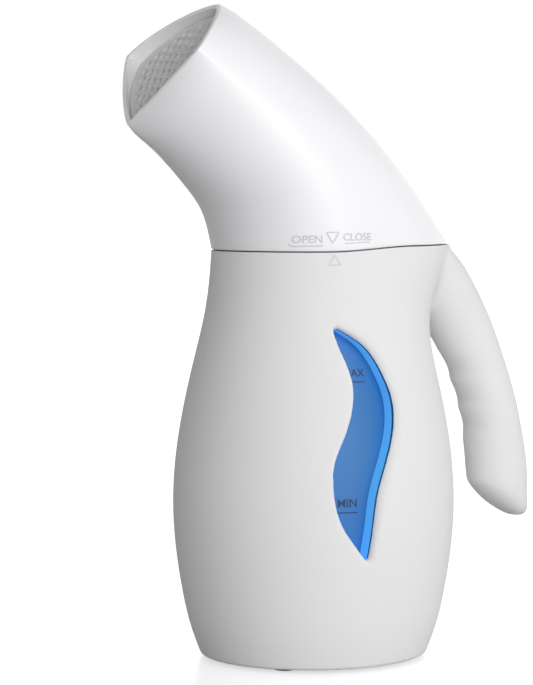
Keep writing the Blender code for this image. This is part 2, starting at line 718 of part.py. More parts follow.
GRILLE_SHARES = (0.87, 0.905)  # where the grille sits between seam (0) and rim (1)
HEAD_SHARES = (0.0, 0.05, 0.12, 0.2, 0.3, 0.4, 0.5, 0.6, 0.7, 0.8, 0.88, 0.95, 1.0)


def make_head():
    """The bent head: shell, lock ring with its floor, steam duct, baffle and grille."""
    rings = [settle_on_seam(head_ring(s), s, GAP) for s in HEAD_SHARES]
    inner = [settle_on_seam(head_ring(s, WALL), s, GAP) for s in reversed(HEAD_SHARES)]
    shell = loft("head_shell", rings + inner, "white_shell", closed=True)
    tidy(shell)
    make_lock_ring()
    rings = [head_ring(s, WALL + GAP + 0.1, 32) for s in GRILLE_SHARES]
    nozzle = loft("nozzle_plate", rings, "grey_plastic")
    axis = head_axis(GRILLE_SHARES[0])
    for place in nozzle_holes():
        nozzle = cut(nozzle, aim(stacked("hole", ((1.9, -12), (1.9, 12)), count=8), place, axis))
    tidy(nozzle)
    centres = [head_centre(s) for s in (0.16, 0.27, 0.38, 0.48, 0.56)]
    centres = [Vector((0, 0, lock_plate()[1] + GAP)), Vector((-1.5, 0, lock_plate()[1] + 9))] + centres
    tube("steam_duct", centres, 8.5, 1.4, "white_plain")
    baffle = stacked("steam_baffle", ((13.0, 0), (13.0, 1.6), (6.0, 3.4)), "white_plain", 24)
    aim(baffle, head_centre(0.60), head_axis(0.60))


def head_centre(share):
    """The middle of the head's section."""
    ring = head_ring(share)
    return sum(ring, Vector()) / len(ring)


def head_axis(share):
    """The direction in which steam flows at this section."""
    return (head_centre(share + 0.02) - head_centre(share - 0.02)).normalized()


def nozzle_holes():
    """Middles of the grille's holes, in rows across the mouth."""
    middle = head_centre(sum(GRILLE_SHARES) / 2)
    axis = head_axis(GRILLE_SHARES[0])
    up = Vector((0, 1, 0)).cross(axis)
    up = up if up.z > 0 else -up
    places = []
    for row, columns in ((-1.4, 2), (-0.7, 3), (0, 4), (0.7, 3), (1.4, 2)):
        for column in range(columns):
            y = (column - (columns - 1) / 2) * 8.0
            places.append(middle + up * row * 10.0 + Vector((0, y, 0)))
    return places


def lock_plate():
    """(low, high) heights of the head's floor plate."""
    return SEAM_Z + SEAM_STEP + 2.2, SEAM_Z + SEAM_STEP + 4.6


def tube(name, points, outer, wall, finish, count=14):
    """A hollow tube along points in the middle plane, open at both ends."""
    rings = []
    for radius in (outer, outer - wall):
        part = []
        for i, point in enumerate(points):
            along = (points[min(i + 1, len(points) - 1)] - points[max(i - 1, 0)]).normalized()
            if i == 0:
                along = Vector((0, 0, 1))
            side = Vector((0, 1, 0))
            across = along.cross(side)
            turns = [2 * math.pi * k / count for k in range(count)]
            part.append([point + radius * (math.cos(t) * across + math.sin(t) * side) for t in turns])
        rings += part if radius == outer else part[::-1]
    return loft(name, rings, finish, closed=True)


def make_lock_ring():
    """The bayonet ring under the head, with the head's floor and the port that takes the riser."""
    low, high = lock_plate()
    shares = HEAD_SHARES[:5]
    rings = [settle_on_seam(head_ring(s, WALL + GAP), s, GAP) for s in shares]
    ring = loft("head_lock_ring", rings, "white_plain")
    ring = common(ring, block("slab", (-200, -200, low), (200, 200, high)))
    profile = ((LOCK_R - 2.2, LUG_Z[0]), (LOCK_R, LUG_Z[0]), (LOCK_R, low + 1), (LOCK_R - 2.2, low + 1))
    ring = join(ring, turned("skirt", profile))
    for turn in (90, 210, 330):
        start, end = turn - LUG_HALF_ANGLE, turn + LUG_HALF_ANGLE
        lug = ring_sector("lug", start, end, LUG_Z[0] + 0.1, LUG_Z[1], LOCK_R - 1, LOCK_R + LUG_OUT)
        ring = join(ring, lug)
    port = stacked("port", ((RISER_R + 3.0, SEAM_Z - 8.0), (RISER_R + 3.0, low + 1)))
    ring = join(ring, port)
    ring = cut(ring, stacked("hole", ((RISER_R + 1.2, SEAM_Z - 12), (RISER_R + 1.2, high + 5))))
    tidy(ring)
    low = SEAM_Z - 1.2 + GAP
    high = lock_plate()[0] - GAP
    inner, outer = LOCK_R + 0.5, NECK_RING_R - 0.5
    turned("neck_seal", ((inner, low), (outer, low), (outer, high), (inner, high)), "silicone", 24)


# ---------------------------------------------------------------- whole
def clear_scene():
    """Removes every object of the startup scene."""
    for made in list(bpy.data.objects):
        bpy.data.objects.remove(made)


def centre_on_box():
    """Moves all pieces so that the origin is under the middle of the whole box, with the feet at z = 0."""
    pieces = [made for made in bpy.data.objects if not made.hide_render]
    points = [made.matrix_world @ Vector(corner) for made in pieces for corner in made.bound_box]
    low = Vector([min(p[i] for p in points) for i in range(3)])
    high = Vector([max(p[i] for p in points) for i in range(3)])
    shift = Matrix.Translation((-(low.x + high.x) / 2, -(low.y + high.y) / 2, -low.z))
    for made in pieces:
        made.data.transform(shift)
    return shift.translation


def set_origin(made, place):
    """Puts an object's origin at place and leaves its shape where it is."""
    made.data.transform(Matrix.Translation(-Vector(place)))
    made.location = place


def main():
    clear_scene()
    make_shells()
    make_base()
    make_handle_screws()
    make_tank()
    make_boiler()
    make_wires()
    make_neck()
    make_head()
    shift = centre_on_box()
    turning = ("head_shell", "head_lock_ring", "nozzle_plate", "steam_duct", "steam_baffle", "neck_seal")
    for name in turning:
        set_origin(bpy.data.objects[name], Vector((0, 0, SEAM_Z * MM)) + shift)
    place, _ = button_axis()
    set_origin(bpy.data.objects["power_button"], place * MM + shift)


main()
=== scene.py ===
"""Handheld garment steamer: fine shells, water window, grille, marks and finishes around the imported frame.

Sizes are in millimetres about the body's own upright axis, with +Z up, and are turned to metres in the frame
when a mesh is made. The nozzle points to -X, the handle stands at +X, and the water window is on the -Y side.
"""

import json
import logging
import math
from collections.abc import Sequence
from dataclasses import dataclass
from enum import Enum

import bmesh
import bpy
import numpy as np
from mathutils import Matrix, Vector


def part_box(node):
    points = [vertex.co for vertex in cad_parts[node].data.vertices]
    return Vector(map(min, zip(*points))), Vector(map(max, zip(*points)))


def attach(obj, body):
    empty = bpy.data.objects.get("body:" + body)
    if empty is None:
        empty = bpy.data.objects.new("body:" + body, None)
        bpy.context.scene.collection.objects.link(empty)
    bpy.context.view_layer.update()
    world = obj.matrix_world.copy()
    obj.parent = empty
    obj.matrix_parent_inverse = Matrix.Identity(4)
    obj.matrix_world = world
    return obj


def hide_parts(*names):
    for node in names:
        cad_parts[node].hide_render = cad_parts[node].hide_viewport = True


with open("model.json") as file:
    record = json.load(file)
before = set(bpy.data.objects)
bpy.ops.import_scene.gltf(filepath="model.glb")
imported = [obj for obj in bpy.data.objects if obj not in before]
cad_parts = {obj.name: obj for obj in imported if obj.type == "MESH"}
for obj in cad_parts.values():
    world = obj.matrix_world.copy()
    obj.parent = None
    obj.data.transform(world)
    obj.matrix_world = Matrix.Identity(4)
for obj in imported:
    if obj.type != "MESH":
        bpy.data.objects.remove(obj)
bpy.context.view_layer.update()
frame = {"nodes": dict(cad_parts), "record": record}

MM = 0.001
JOINTS = {joint["name"]: joint for joint in frame["record"]["behaviour"]["joints"]}
AXIS_X = JOINTS["head_twist"]["pos_m"][0]  # the body's own axis stands at this x in the frame
log = logging.getLogger("steamer")

SUNK = 0.25  # a raised mark reaches this far under the surface that it lies on
LETTER_LIFT = 0.22  # height of moulded marks
INK_LIFT = 0.06  # height of printed marks
BUTTON_MIDDLE = 2.8  # from the middle of the button's CAD box to the skin
GLAND_Z = 14.0  # height of the cord outlet


# ---------------------------------------------------------------- finishes
class Pattern(Enum):
    """How a surface was made, which sets the shape of its fine relief."""

    SPARKED = "spark-eroded mould, an even fine grain"
    BRUSHED = "drawn or turned metal, long fine lines"
    CAST = "cast or fired, a coarse uneven grain"


def linear(code: str) -> tuple[float, float, float, float]:
    """Turns an sRGB hex colour into linear red, green, blue and alpha.

    Args:
        code: six hex digits.

    Returns:
        The linear colour with alpha 1.
    """
    parts = [int(code[i:i + 2], 16) / 255 for i in (0, 2, 4)]
    red, green, blue = (c / 12.92 if c <= 0.04045 else ((c + 0.055) / 1.055) ** 2.4 for c in parts)
    return red, green, blue, 1.0


def add_node(tree: bpy.types.NodeTree, kind: str, settings: dict, links: dict) -> bpy.types.Node:
    """Adds a node with its settings and its links.

    Args:
        tree: the node tree.
        kind: the node's type name.
        settings: values by input name or number, or by the node's own property name.
        links: output sockets by the input name or number that they go to.

    Returns:
        The new node.
    """
    node = tree.nodes.new(kind)
    for key, value in settings.items():
        if isinstance(key, str) and key not in node.inputs:
            setattr(node, key, value)
        else:
            node.inputs[key].default_value = value
    for key, socket in links.items():
        tree.links.new(socket, node.inputs[key])
    return node


@dataclass(frozen=True)
class Finish:
    """One material: its colour, shine and fine relief; a few are lit or shaded copies that carry painted
    light or painted shade.

    Attributes:
        name: the material's common name.
        colour: sRGB hex colour.
        shade: the sRGB hex colour that it drifts to in soft patches.
        roughness: of the surface.
        grain_mm: spacing of the fine relief.
        relief_mm: height of the fine relief.
        drift_mm: size of the soft patches of colour and roughness.
        metallic: 1 for a bare metal.
        ior: index of refraction.
        coat: weight of a clear glossy layer.
        depth_glow: share of light scattered under the surface.
        glow: emission strength, painted light that stands in for the daylight that clear plastic passes on
            from behind.
        pattern: how the surface was made.
    """

    name: str
    colour: str
    shade: str
    roughness: float
    grain_mm: float = 0.6
    relief_mm: float = 0.01
    drift_mm: float = 45.0
    metallic: float = 0.0
    ior: float = 1.5
    coat: float = 0.0
    depth_glow: float = 0.0
    glow: float = 0.0
    pattern: Pattern = Pattern.SPARKED

    def material(self) -> bpy.types.Material:
        """Returns the finish as a node material, made once."""
        if self.name in bpy.data.materials:
            return bpy.data.materials[self.name]
        made = bpy.data.materials.new(self.name)
        made.use_nodes = True
        tree = made.node_tree
        shader = tree.nodes["Principled BSDF"]
        shader.inputs["Metallic"].default_value = self.metallic
        shader.inputs["IOR"].default_value = self.ior
        shader.inputs["Coat Weight"].default_value = self.coat
        shader.inputs["Coat Roughness"].default_value = 0.12
        shader.inputs["Subsurface Weight"].default_value = self.depth_glow
        shader.inputs["Subsurface Scale"].default_value = 2.0 * MM
        self.wire(tree, shader)
        return made

    def wire(self, tree: bpy.types.NodeTree, shader: bpy.types.Node) -> None:
        """Links the drifting colour and roughness and the fine relief to the shader.

        Args:
            tree: the material's node tree.
            shader: its Principled BSDF.
        """
        place = add_node(tree, "ShaderNodeTexCoord", {}, {}).outputs["Object"]
        drift = add_node(tree, "ShaderNodeTexNoise", {"Scale": 1 / (self.drift_mm * MM), "Detail": 2.0},
                         {"Vector": place}).outputs[0]
        tones = {"data_type": "RGBA", 6: linear(self.colour), 7: linear(self.shade)}
        colour = add_node(tree, "ShaderNodeMix", tones, {0: drift})
        spread = {"To Min": self.roughness - 0.05, "To Max": self.roughness + 0.05}
        rough = add_node(tree, "ShaderNodeMapRange", spread, {"Value": drift})
        stretch = (1.0, 1.0, 0.04) if self.pattern is Pattern.BRUSHED else (1.0, 1.0, 1.0)
        lie = add_node(tree, "ShaderNodeMapping", {"Scale": stretch}, {"Vector": place})
        kind = "ShaderNodeTexVoronoi" if self.pattern is Pattern.CAST else "ShaderNodeTexNoise"
        grain = add_node(tree, kind, {"Scale": 1 / (self.grain_mm * MM)}, {"Vector": lie.outputs["Vector"]})
        bump = add_node(tree, "ShaderNodeBump", {"Distance": self.relief_mm * MM, "Strength": 0.6},
                        {"Height": grain.outputs[0]})
        tree.links.new(colour.outputs[2], shader.inputs["Base Color"])
        # Emission paints light: with glow above 0 the piece glows though it is no lamp.
        shader.inputs["Emission Color"].default_value = linear(self.colour)
        shader.inputs["Emission Strength"].default_value = self.glow
        tree.links.new(rough.outputs[0], shader.inputs["Roughness"])
        tree.links.new(bump.outputs[0], shader.inputs["Normal"])


# White ABS from a finely spark-eroded mould: soft broad highlights and no sparkle.
WHITE_ABS = Finish("moulded_white_abs", "F4F4F6", "F0F0F3", 0.34, 0.5, 0.004, ior=1.54)
# The same ABS on raised lettering, painted darker all over: painted shade that stands in for the shade at the
# foot of each stroke.
WHITE_ABS_PAINTED_SHADE = Finish("moulded_white_abs_painted_shade", "D4D4DA", "CCCCD3", 0.42, 0.5, 0.004, ior=1.54)
# White polypropylene for the hidden and sliding pieces: a little duller and warmer.
WHITE_PP = Finish("moulded_white_polypropylene", "ECECEA", "E6E6E3", 0.46, 0.7, 0.01, ior=1.49)
# Grey glass-filled nylon of the steam grille: matt, with a grain that catches light at a slant.
GREY_NYLON = Finish("glass_filled_grey_nylon", "A6A6AE", "8F8F98", 0.52, 0.5, 0.05, 8.0, ior=1.53)
# Blue SAN of the tank, seen on its dull moulded face: deep blue through its whole thickness.
BLUE_SAN = Finish("clear_blue_san", "2474B6", "206DAD", 0.55, 3.0, 0.01, 30.0, ior=1.57)
# The same SAN on the pocket's upright walls, in a lighter blue with a glow: painted light that stands in for
# the daylight coming through the tank and lighting the walls seen edge-on.
BLUE_SAN_PAINTED_LIGHT = Finish("clear_blue_san_painted_light", "66C2FF", "5CB8FA", 0.22, 3.0, 0.01, 30.0, ior=1.57, coat=0.3,
                       depth_glow=0.2, glow=0.3)
# Dark blue pad-printing ink on the tank: flat, slightly matt.
BLUE_INK = Finish("pad_printed_dark_blue_ink", "123A5E", "0F3456", 0.55, 0.4, 0.003)
# Silicone seal: soft, milky, with a dull skin.
SILICONE = Finish("milky_silicone", "C4C6C9", "B9BBBF", 0.55, 0.8, 0.02, 12.0, ior=1.41, depth_glow=0.2)
# Black nitrile rubber of the feet: dull, with a coarse moulded grain.
BLACK_RUBBER = Finish("black_nitrile_rubber", "1B1B1C", "242425", 0.78, 0.5, 0.04, 10.0, ior=1.52)
# Die-cast aluminium of the boiler: grey, with the mottle of the casting skin.
CAST_ALUMINIUM = Finish("die_cast_aluminium", "A9ABAD", "96989B", 0.42, 1.2, 0.05, 9.0, metallic=1.0,
                        pattern=Pattern.CAST)
# Zinc-plated steel of the screws and the element: bright, with turning lines.
ZINC_STEEL = Finish("zinc_plated_steel", "B9BABD", "A6A7AA", 0.30, 0.25, 0.01, 6.0, metallic=1.0,
                    pattern=Pattern.BRUSHED)
# Steatite ceramic of the terminal block and thermostat: off-white, unglazed.
STEATITE = Finish("unglazed_steatite", "E4DFD0", "D8D2C1", 0.62, 0.7, 0.03, 8.0, pattern=Pattern.CAST)
# PVC insulation of the two wires.
BROWN_PVC = Finish("brown_pvc_insulation", "5A3317", "4E2B12", 0.42, 0.6, 0.01, 6.0)
BLUE_PVC = Finish("blue_pvc_insulation", "1D4FA3", "184592", 0.42, 0.6, 0.01, 6.0)
# Seamless studio floor: pale grey, with a faint sheen that gives the soft reflection.
STUDIO_WHITE = Finish("studio_white_acrylic", "BEBEBE", "BCBCBC", 0.30, 2.0, 0.0, 400.0, ior=1.49)

CAD_FINISHES = {
    WHITE_PP: ("neck_ring", "head_lock_ring", "steam_duct", "steam_baffle", "steam_riser", "boiler_cap"),
    GREY_NYLON: ("switch_body",),
    SILICONE: ("neck_seal", "boiler_gasket"),
    CAST_ALUMINIUM: ("boiler_cup",),
    ZINC_STEEL: ("heating_element", "thermal_fuse"),
    STEATITE: ("thermostat", "terminal_block"),
    BROWN_PVC: ("live_wire",),
    BLUE_PVC: ("neutral_wire",),
}


# ---------------------------------------------------------------- curves and forms
class Curve:
    """A natural cubic through (x, y) knots with rising x."""

    def __init__(self, knots: Sequence[tuple[float, float]]) -> None:
        """Solves the cubic's bends.

        Args:
            knots: the points that it passes through.
        """
        self.x, self.y = np.array(knots, float).T
        step = np.diff(self.x)
        count = len(self.x)
        matrix = np.eye(count)
        right = np.zeros(count)
        for i in range(1, count - 1):
            matrix[i, i - 1:i + 2] = step[i - 1], 2 * (step[i - 1] + step[i]), step[i]
            right[i] = 6 * ((self.y[i + 1] - self.y[i]) / step[i] - (self.y[i] - self.y[i - 1]) / step[i - 1])
        self.bend = np.linalg.solve(matrix, right)
        self.step = step

    def __call__(self, at: float | np.ndarray) -> float | np.ndarray:
        """Returns the curve's height at this place or at each of these places."""
        i = np.clip(np.searchsorted(self.x, at) - 1, 0, len(self.x) - 2)
        a = self.x[i + 1] - at
        b = at - self.x[i]
        step = self.step[i]
        cubic = (self.bend[i] * a ** 3 + self.bend[i + 1] * b ** 3) / (6 * step)
        left = (self.y[i] / step - self.bend[i] * step / 6) * a
        return cubic + left + (self.y[i + 1] / step - self.bend[i + 1] * step / 6) * b


def columns(rows: Sequence[Sequence[float]]) -> list[Curve]:
    """Returns one curve for each column of rows, against an even 0 to 1."""
    places = np.linspace(0.0, 1.0, len(rows))
    return [Curve(list(zip(places, column))) for column in zip(*rows)]


def smooth(share: float | np.ndarray) -> float | np.ndarray:
    """Returns 0 to 1 with level ends."""
    share = np.clip(share, 0.0, 1.0)
    return share * share * (3 - 2 * share)


def turns(count: int) -> np.ndarray:
    """Returns this many even angles round a full turn."""
    return np.arange(count) * (2 * math.pi / count)


@dataclass(frozen=True)
class BodyForm:
    """The kettle body's outer form."""

    seam_z: float = 157.2
    half_length: float = 55.1
    half_depth: float = 51.8
    seam_step: float = 1.8
    step_start: float = -14.0
    step_length: float = 38.0
    neck_flare: float = 16.0
    wall: float = 2.2
    table_gap: float = 1.0
    profile: Curve = Curve((
        (0.000, 0.797), (0.076, 0.877), (0.159, 0.933), (0.254, 0.976), (0.369, 1.000),
        (0.477, 0.987), (0.604, 0.933), (0.732, 0.851), (0.859, 0.768), (1.000, 0.726),
    ))
    flare: Curve = Curve(((0.60, 0.0), (0.72, 0.01), (0.80, 0.10), (0.88, 0.40), (0.94, 0.74), (1.0, 1.0)))

    def seam(self, x: float | np.ndarray) -> float | np.ndarray:
        """Returns the seam's height at this x: a soft step up towards the handle."""
        return self.seam_z + self.seam_step * smooth((x - self.step_start) / self.step_length)

    def axes(self, z: float | np.ndarray, inset: float = 0.0) -> tuple:
        """Gives the section's half axes.

        Args:
            z: height above the table.
            inset: how far inside the skin.

        Returns:
            The front, rear and side half axes.
        """
        up = np.minimum(z / self.seam_z, 1.0)
        share = self.profile(up)
        flare = self.neck_flare * np.where(up > 0.6, np.maximum(self.flare(up), 0.0), 0.0)
        length = self.half_length * share - inset
        return length, length + flare, self.half_depth * share - inset

    def ring(self, z: float, inset: float, count: int, rear_inset: float | None = None) -> np.ndarray:
        """Gives one level section.

        Args:
            z: height above the table.
            inset: how far inside the skin.
            count: points round it.
            rear_inset: with a value, the section leaves the neck flare out and is this much shorter behind.

        Returns:
            Its points.
        """
        front, rear, side = self.axes(z, inset)
        rear = rear if rear_inset is None else front - rear_inset
        angle = turns(count)
        x = np.where(np.cos(angle) > 0, rear, front) * np.cos(angle)
        return np.column_stack((x, side * np.sin(angle), np.full(count, z)))

    def near_y(self, x: float, z: float) -> float:
        """Returns the y of the near skin at this x and height."""
        front, rear, side = self.axes(z)
        length = rear if x > 0 else front
        return -float(side * math.sqrt(max(1 - (x / length) ** 2, 0.0)))


@dataclass(frozen=True)
class HandleForm:
    """The side handle, as sections along its centre line."""

    half_thick: float = 12.3
    finger_gap: float = 16.0
    end_half_wide: float = 12.2
    ridge_heights: tuple[float, ...] = (120.5, 108.5, 96.5, 84.0)
    groove_depth: float = 1.1
    # Centre line: share of the reach, share of the seam height, share of the thickness, half width.
    path: tuple[tuple[float, ...], ...] = (
        (0.430, 1.035, 0.94, 24.0), (0.520, 0.982, 0.96, 20.5), (0.620, 0.929, 1.02, 17.5),
        (0.710, 0.865, 1.02, 15.0), (0.782, 0.807, 0.98, 13.4), (0.836, 0.752, 0.94, 12.8),
        (0.882, 0.694, 0.92, 12.6), (0.922, 0.635, 0.92, 12.6), (0.955, 0.573, 0.93, 12.6),
        (0.978, 0.509, 0.96, 12.6), (0.990, 0.466, 0.99, 12.4), (0.999, 0.424, 1.00, 12.2),
    )
    # Rounded lower end: share of the reach, of the seam height and of the section, lean of the section.
    end: tuple[tuple[float, ...], ...] = (
        (1.010, 0.384, 0.94, -0.12), (1.040, 0.352, 0.77, -0.16),
        (1.078, 0.327, 0.50, -0.10), (1.104, 0.312, 0.20, 0.0),
    )

    def reach(self, body: BodyForm) -> float:
        """Returns the distance from the body's axis to the handle's centre line."""
        return body.half_length + self.finger_gap + self.half_thick

    def sections(self, body: BodyForm, steps: int) -> np.ndarray:
        """Gives the handle's sections from its root to its end.

        Args:
            body: the body that it stands on.
            steps: number of sections.

        Returns:
            Rows of centre x, centre z, angle of the thickness, half thickness, half width.
        """
        reach = self.reach(body)
        x, z, thick, wide = columns(self.path)
        rows = []
        for t in np.linspace(0.0, 1.0, len(self.path)):
            ahead_x, ahead_z = reach * (x(t + 0.01) - x(t)), body.seam_z * (z(t + 0.01) - z(t))
            rows.append((reach * x(t), body.seam_z * z(t), math.atan2(ahead_x, -ahead_z),
                         self.half_thick * thick(t), wide(t)))
        for end_x, end_z, share, lean in self.end:
            rows.append((reach * end_x, body.seam_z * end_z, math.atan(lean), self.half_thick * share,
                         self.end_half_wide * share ** 0.7))
        curves = columns(rows)
        return np.column_stack([curve(np.linspace(0.0, 1.0, steps)) for curve in curves])

    def groove(self, z: float) -> float:
        """Returns the depth of the finger groove at this height: deepest just above each ridge."""
        tops, lows = self.ridge_heights[:-1], self.ridge_heights[1:]
        for top, low in zip(tops, lows):
            if low <= z <= top:
                share = (z - low) / (top - low)
                return self.groove_depth * math.sin(math.pi * share ** 0.6)
        return 0.0

    def rings(self, body: BodyForm, inset: float, count: int, steps: int) -> list[np.ndarray]:
        """Gives the handle's skin.

        Args:
            body: the body that it stands on.
            inset: how far inside the skin; grooves are left out inside.
            count: points round each section.
            steps: number of sections.

        Returns:
            The rings from root to end.
        """
        rings = []
        angle = turns(count)
        for x, z, lean, thick, wide in self.sections(body, steps):
            if thick - inset < 0.8:
                break
            out = (thick - inset) * np.cos(angle)
            if not inset:
                out = out + self.groove(z) * np.clip(-np.cos(angle), 0, 1) ** 1.5
            rings.append(np.column_stack((x + math.cos(lean) * out, (wide - inset) * np.sin(angle),
                                          z + math.sin(lean) * out)))
        return rings

    def distance(self, body: BodyForm, points: np.ndarray) -> np.ndarray:
        """Returns roughly how far each point is outside the handle."""
        rows = self.sections(body, 140)
        gaps = np.hypot(points[:, :1] - rows[:, 0], points[:, 2:] - rows[:, 1])
        near = gaps.argmin(axis=1)
        thick, wide = rows[near, 3], rows[near, 4]
        return (np.hypot(gaps[np.arange(len(points)), near] / thick, points[:, 1] / wide) - 1) * thick


@dataclass(frozen=True)
class WindowForm:
    """The S-shaped water window on the near side."""

    height: float = 88.0
    centre_x: float = -5.0
    centre_z: float = 86.0
    depth: float = 8.5
    lip_right: float = 4.2
    lip_left: float = 0.7
    left: tuple[tuple[float, float], ...] = (
        (-0.085, 0.500), (-0.060, 0.399), (-0.025, 0.286), (-0.030, 0.161), (-0.076, 0.036),
        (-0.125, -0.073), (-0.134, -0.193), (-0.107, -0.319), (-0.041, -0.424), (0.018, -0.500),
    )
    right: tuple[tuple[float, float], ...] = (
        (-0.085, 0.500), (0.001, 0.446), (0.078, 0.376), (0.142, 0.256), (0.166, 0.160),
        (0.152, 0.040), (0.096, -0.110), (0.057, -0.227), (0.038, -0.360), (0.018, -0.500),
    )

    def outline(self, steps: int, left_grow: float, right_grow: float) -> list[tuple[float, float]]:
        """Gives the outline, grown by a margin that fades at the two tips.

        Args:
            steps: points along each side.
            left_grow: margin on the left side.
            right_grow: margin on the right side.

        Returns:
            The (x, z) points, down the right side and up the left.
        """
        sides = [columns(rows) for rows in (self.right, self.left)]
        shares = np.linspace(0.0, 1.0, steps)
        loop = [(sides[0][0](s), sides[0][1](s), right_grow, s) for s in shares]
        loop += [(sides[1][0](s), sides[1][1](s), left_grow, s) for s in shares[-2:0:-1]]
        grown = []
        for i, (x, z, grow, share) in enumerate(loop):
            before, after = loop[i - 1], loop[(i + 1) % len(loop)]
            along = Vector((after[0] - before[0], after[1] - before[1])).normalized()
            fade = math.sin(math.pi * min(max(share, 0.0), 1.0)) ** 0.7
            margin = min(left_grow, right_grow) + (grow - min(left_grow, right_grow)) * fade
            grown.append((self.centre_x + self.height * x - along.y * margin,
                          self.centre_z + self.height * z + along.x * margin))
        return grown


@dataclass(frozen=True)
class HeadForm:
    """The bent steam head's outer form, from the seam (0) to the rim (1)."""

    rise: float = 92.8
    mouth_half_width: float = 32.0
    mouth_bulge: float = 6.2
    top: tuple[tuple[float, float], ...] = (
        (0.600, 0.020), (0.368, 0.319), (0.135, 0.561), (-0.090, 0.753), (-0.335, 0.935), (-0.444, 1.000),
    )
    under: tuple[tuple[float, float], ...] = (
        (-0.431, 0.000), (-0.468, 0.138), (-0.550, 0.254), (-0.687, 0.386), (-0.788, 0.458), (-0.846, 0.511),
    )

    def ring(self, body: BodyForm, share: float, inset: float, count: int, gap: float = 0.3) -> np.ndarray:
        """Gives one section.

        Args:
            body: the body that the head stands on.
            share: place between the seam and the rim.
            inset: how far inside the skin.
            count: points round it.
            gap: clearance above the seam.

        Returns:
            Its points.
        """
        top_x, top_z = columns(self.top)
        under_x, under_z = columns(self.under)
        top = np.array((self.rise * top_x(share), body.seam_z + self.rise * top_z(share)))
        under = np.array((self.rise * under_x(share), body.seam_z + self.rise * under_z(share)))
        length = np.linalg.norm(top - under)
        along = (top - under) / length
        out = np.array((-along[1], along[0]))
        length -= 2 * inset
        under = under + along * inset
        seam_side = body.half_depth * body.profile(1.0)
        side = seam_side + (self.mouth_half_width - seam_side) * smooth(share * 1.1) - inset
        seam_length = (self.top[0][0] - self.under[0][0]) * self.rise
        front_share = body.half_length * body.profile(1.0) / seam_length
        middle = length * (0.5 + (front_share - 0.5) * max(1 - share / 0.6, 0.0) ** 2)
        late = max((share - 0.4) / 0.6, 0.0) ** 1.5
        bulge = self.mouth_bulge * max((share - 0.5) / 0.5, 0.0) ** 2
        angle = turns(count)
        power = 2 / (2 - np.where(np.cos(angle) > 0, 0.55, 0.85) * late)
        cosine = np.sign(np.cos(angle)) * np.abs(np.cos(angle)) ** power
        sine = np.sign(np.sin(angle)) * np.abs(np.sin(angle)) ** power
        distance = middle + cosine * np.where(cosine > 0, length - middle, middle)
        flat = under + distance[:, None] * along + (bulge * np.abs(sine))[:, None] * out
        ring = np.column_stack((flat[:, 0], side * sine, flat[:, 1]))
        return self.settle(body, ring, share, gap)

    def settle(self, body: BodyForm, ring: np.ndarray, share: float, gap: float) -> np.ndarray:
        """Returns the ring laid on the seam's surface where it is close to the seam."""
        weight = max(1 - share / 0.15, 0.0)
        slope = self.top[0][1] / (self.top[0][0] - self.under[0][0])
        straight = body.seam_z + (ring[:, 0] - self.under[0][0] * self.rise) * slope
        ring[:, 2] += weight * (body.seam(ring[:, 0]) + gap - straight)
        return ring

    def centre(self, body: BodyForm, share: float) -> Vector:
        """Returns the middle of the section."""
        return Vector(self.ring(body, share, 0.0, 64).mean(axis=0))

    def axis(self, body: BodyForm, share: float) -> Vector:
        """Returns the direction in which steam flows at this section."""
        return (self.centre(body, share + 0.02) - self.centre(body, share - 0.02)).normalized()


BODY = BodyForm()
HANDLE = HandleForm()
WINDOW = WindowForm()
HEAD = HeadForm()


# ---------------------------------------------------------------- modelling helpers
def only(*pieces: bpy.types.Object) -> None:
    """Selects just these objects and makes the first one active."""
    bpy.ops.object.select_all(action="DESELECT")
    for piece in pieces:
        piece.select_set(True)
    bpy.context.view_layer.objects.active = pieces[0]


def as_object(name: str, points: Sequence, faces: Sequence) -> bpy.types.Object:
    """Makes an object in the frame from points in millimetres.

    Args:
        name: the object's name.
        points: places about the body's axis, in millimetres.
        faces: rows of point numbers.

    Returns:
        The object, at the origin, with its place in its mesh.
    """
    mesh = bpy.data.meshes.new(name)
    places = np.array(points, float) * MM + (AXIS_X, 0.0, 0.0)
    mesh.from_pydata(places.tolist(), [], [list(f) for f in faces])
    made = bpy.data.objects.new(name, mesh)
    bpy.context.collection.objects.link(made)
    return made


def loft(name: str, rings: Sequence[np.ndarray], closed: bool = False) -> bpy.types.Object:
    """Skins equal rings of points into a closed body.

    Args:
        name: the object's name.
        rings: the rings, in order.
        closed: joins the last ring to the first; without it both ends are capped.

    Returns:
        The closed body, with its faces pointing out.
    """
    rows = np.array(rings, float)
    height, count = rows.shape[:2]
    points = rows.reshape(-1, 3).tolist()
    spans = range(height if closed else height - 1)
    faces = []
    for i in spans:
        low, high = i * count, ((i + 1) % height) * count
        faces += [(low + k, low + (k + 1) % count, high + (k + 1) % count, high + k) for k in range(count)]
    if not closed:
        for first in (0, (height - 1) * count):
            points.append(np.mean(points[first:first + count], axis=0).tolist())
            faces += [(first + k, first + (k + 1) % count, len(points) - 1) for k in range(count)]
    made = as_object(name, points, faces)
    face_out(made)
    return made


def face_out(piece: bpy.types.Object) -> None:
    """Merges doubled points and turns every face of a closed body outwards."""
    bm = bmesh.new()
    bm.from_mesh(piece.data)
    bmesh.ops.remove_doubles(bm, verts=bm.verts, dist=0.00001 * MM + 1e-7)
    bmesh.ops.recalc_face_normals(bm, faces=bm.faces)
    if bm.calc_volume(signed=True) < 0:
        bmesh.ops.reverse_faces(bm, faces=bm.faces)
    bm.to_mesh(piece.data)
    bm.free()


def apply(piece: bpy.types.Object, kind: str, **settings: object) -> bpy.types.Object:
    """Adds a modifier with its settings and applies it.

    Args:
        piece: the object.
        kind: the modifier's type.
        **settings: its settings.

    Returns:
        The object.
    """
    only(piece)
    modifier = piece.modifiers.new(kind.lower(), kind)
    for key, value in settings.items():
        setattr(modifier, key, value)
    bpy.ops.object.modifier_apply(modifier=modifier.name)
    return piece


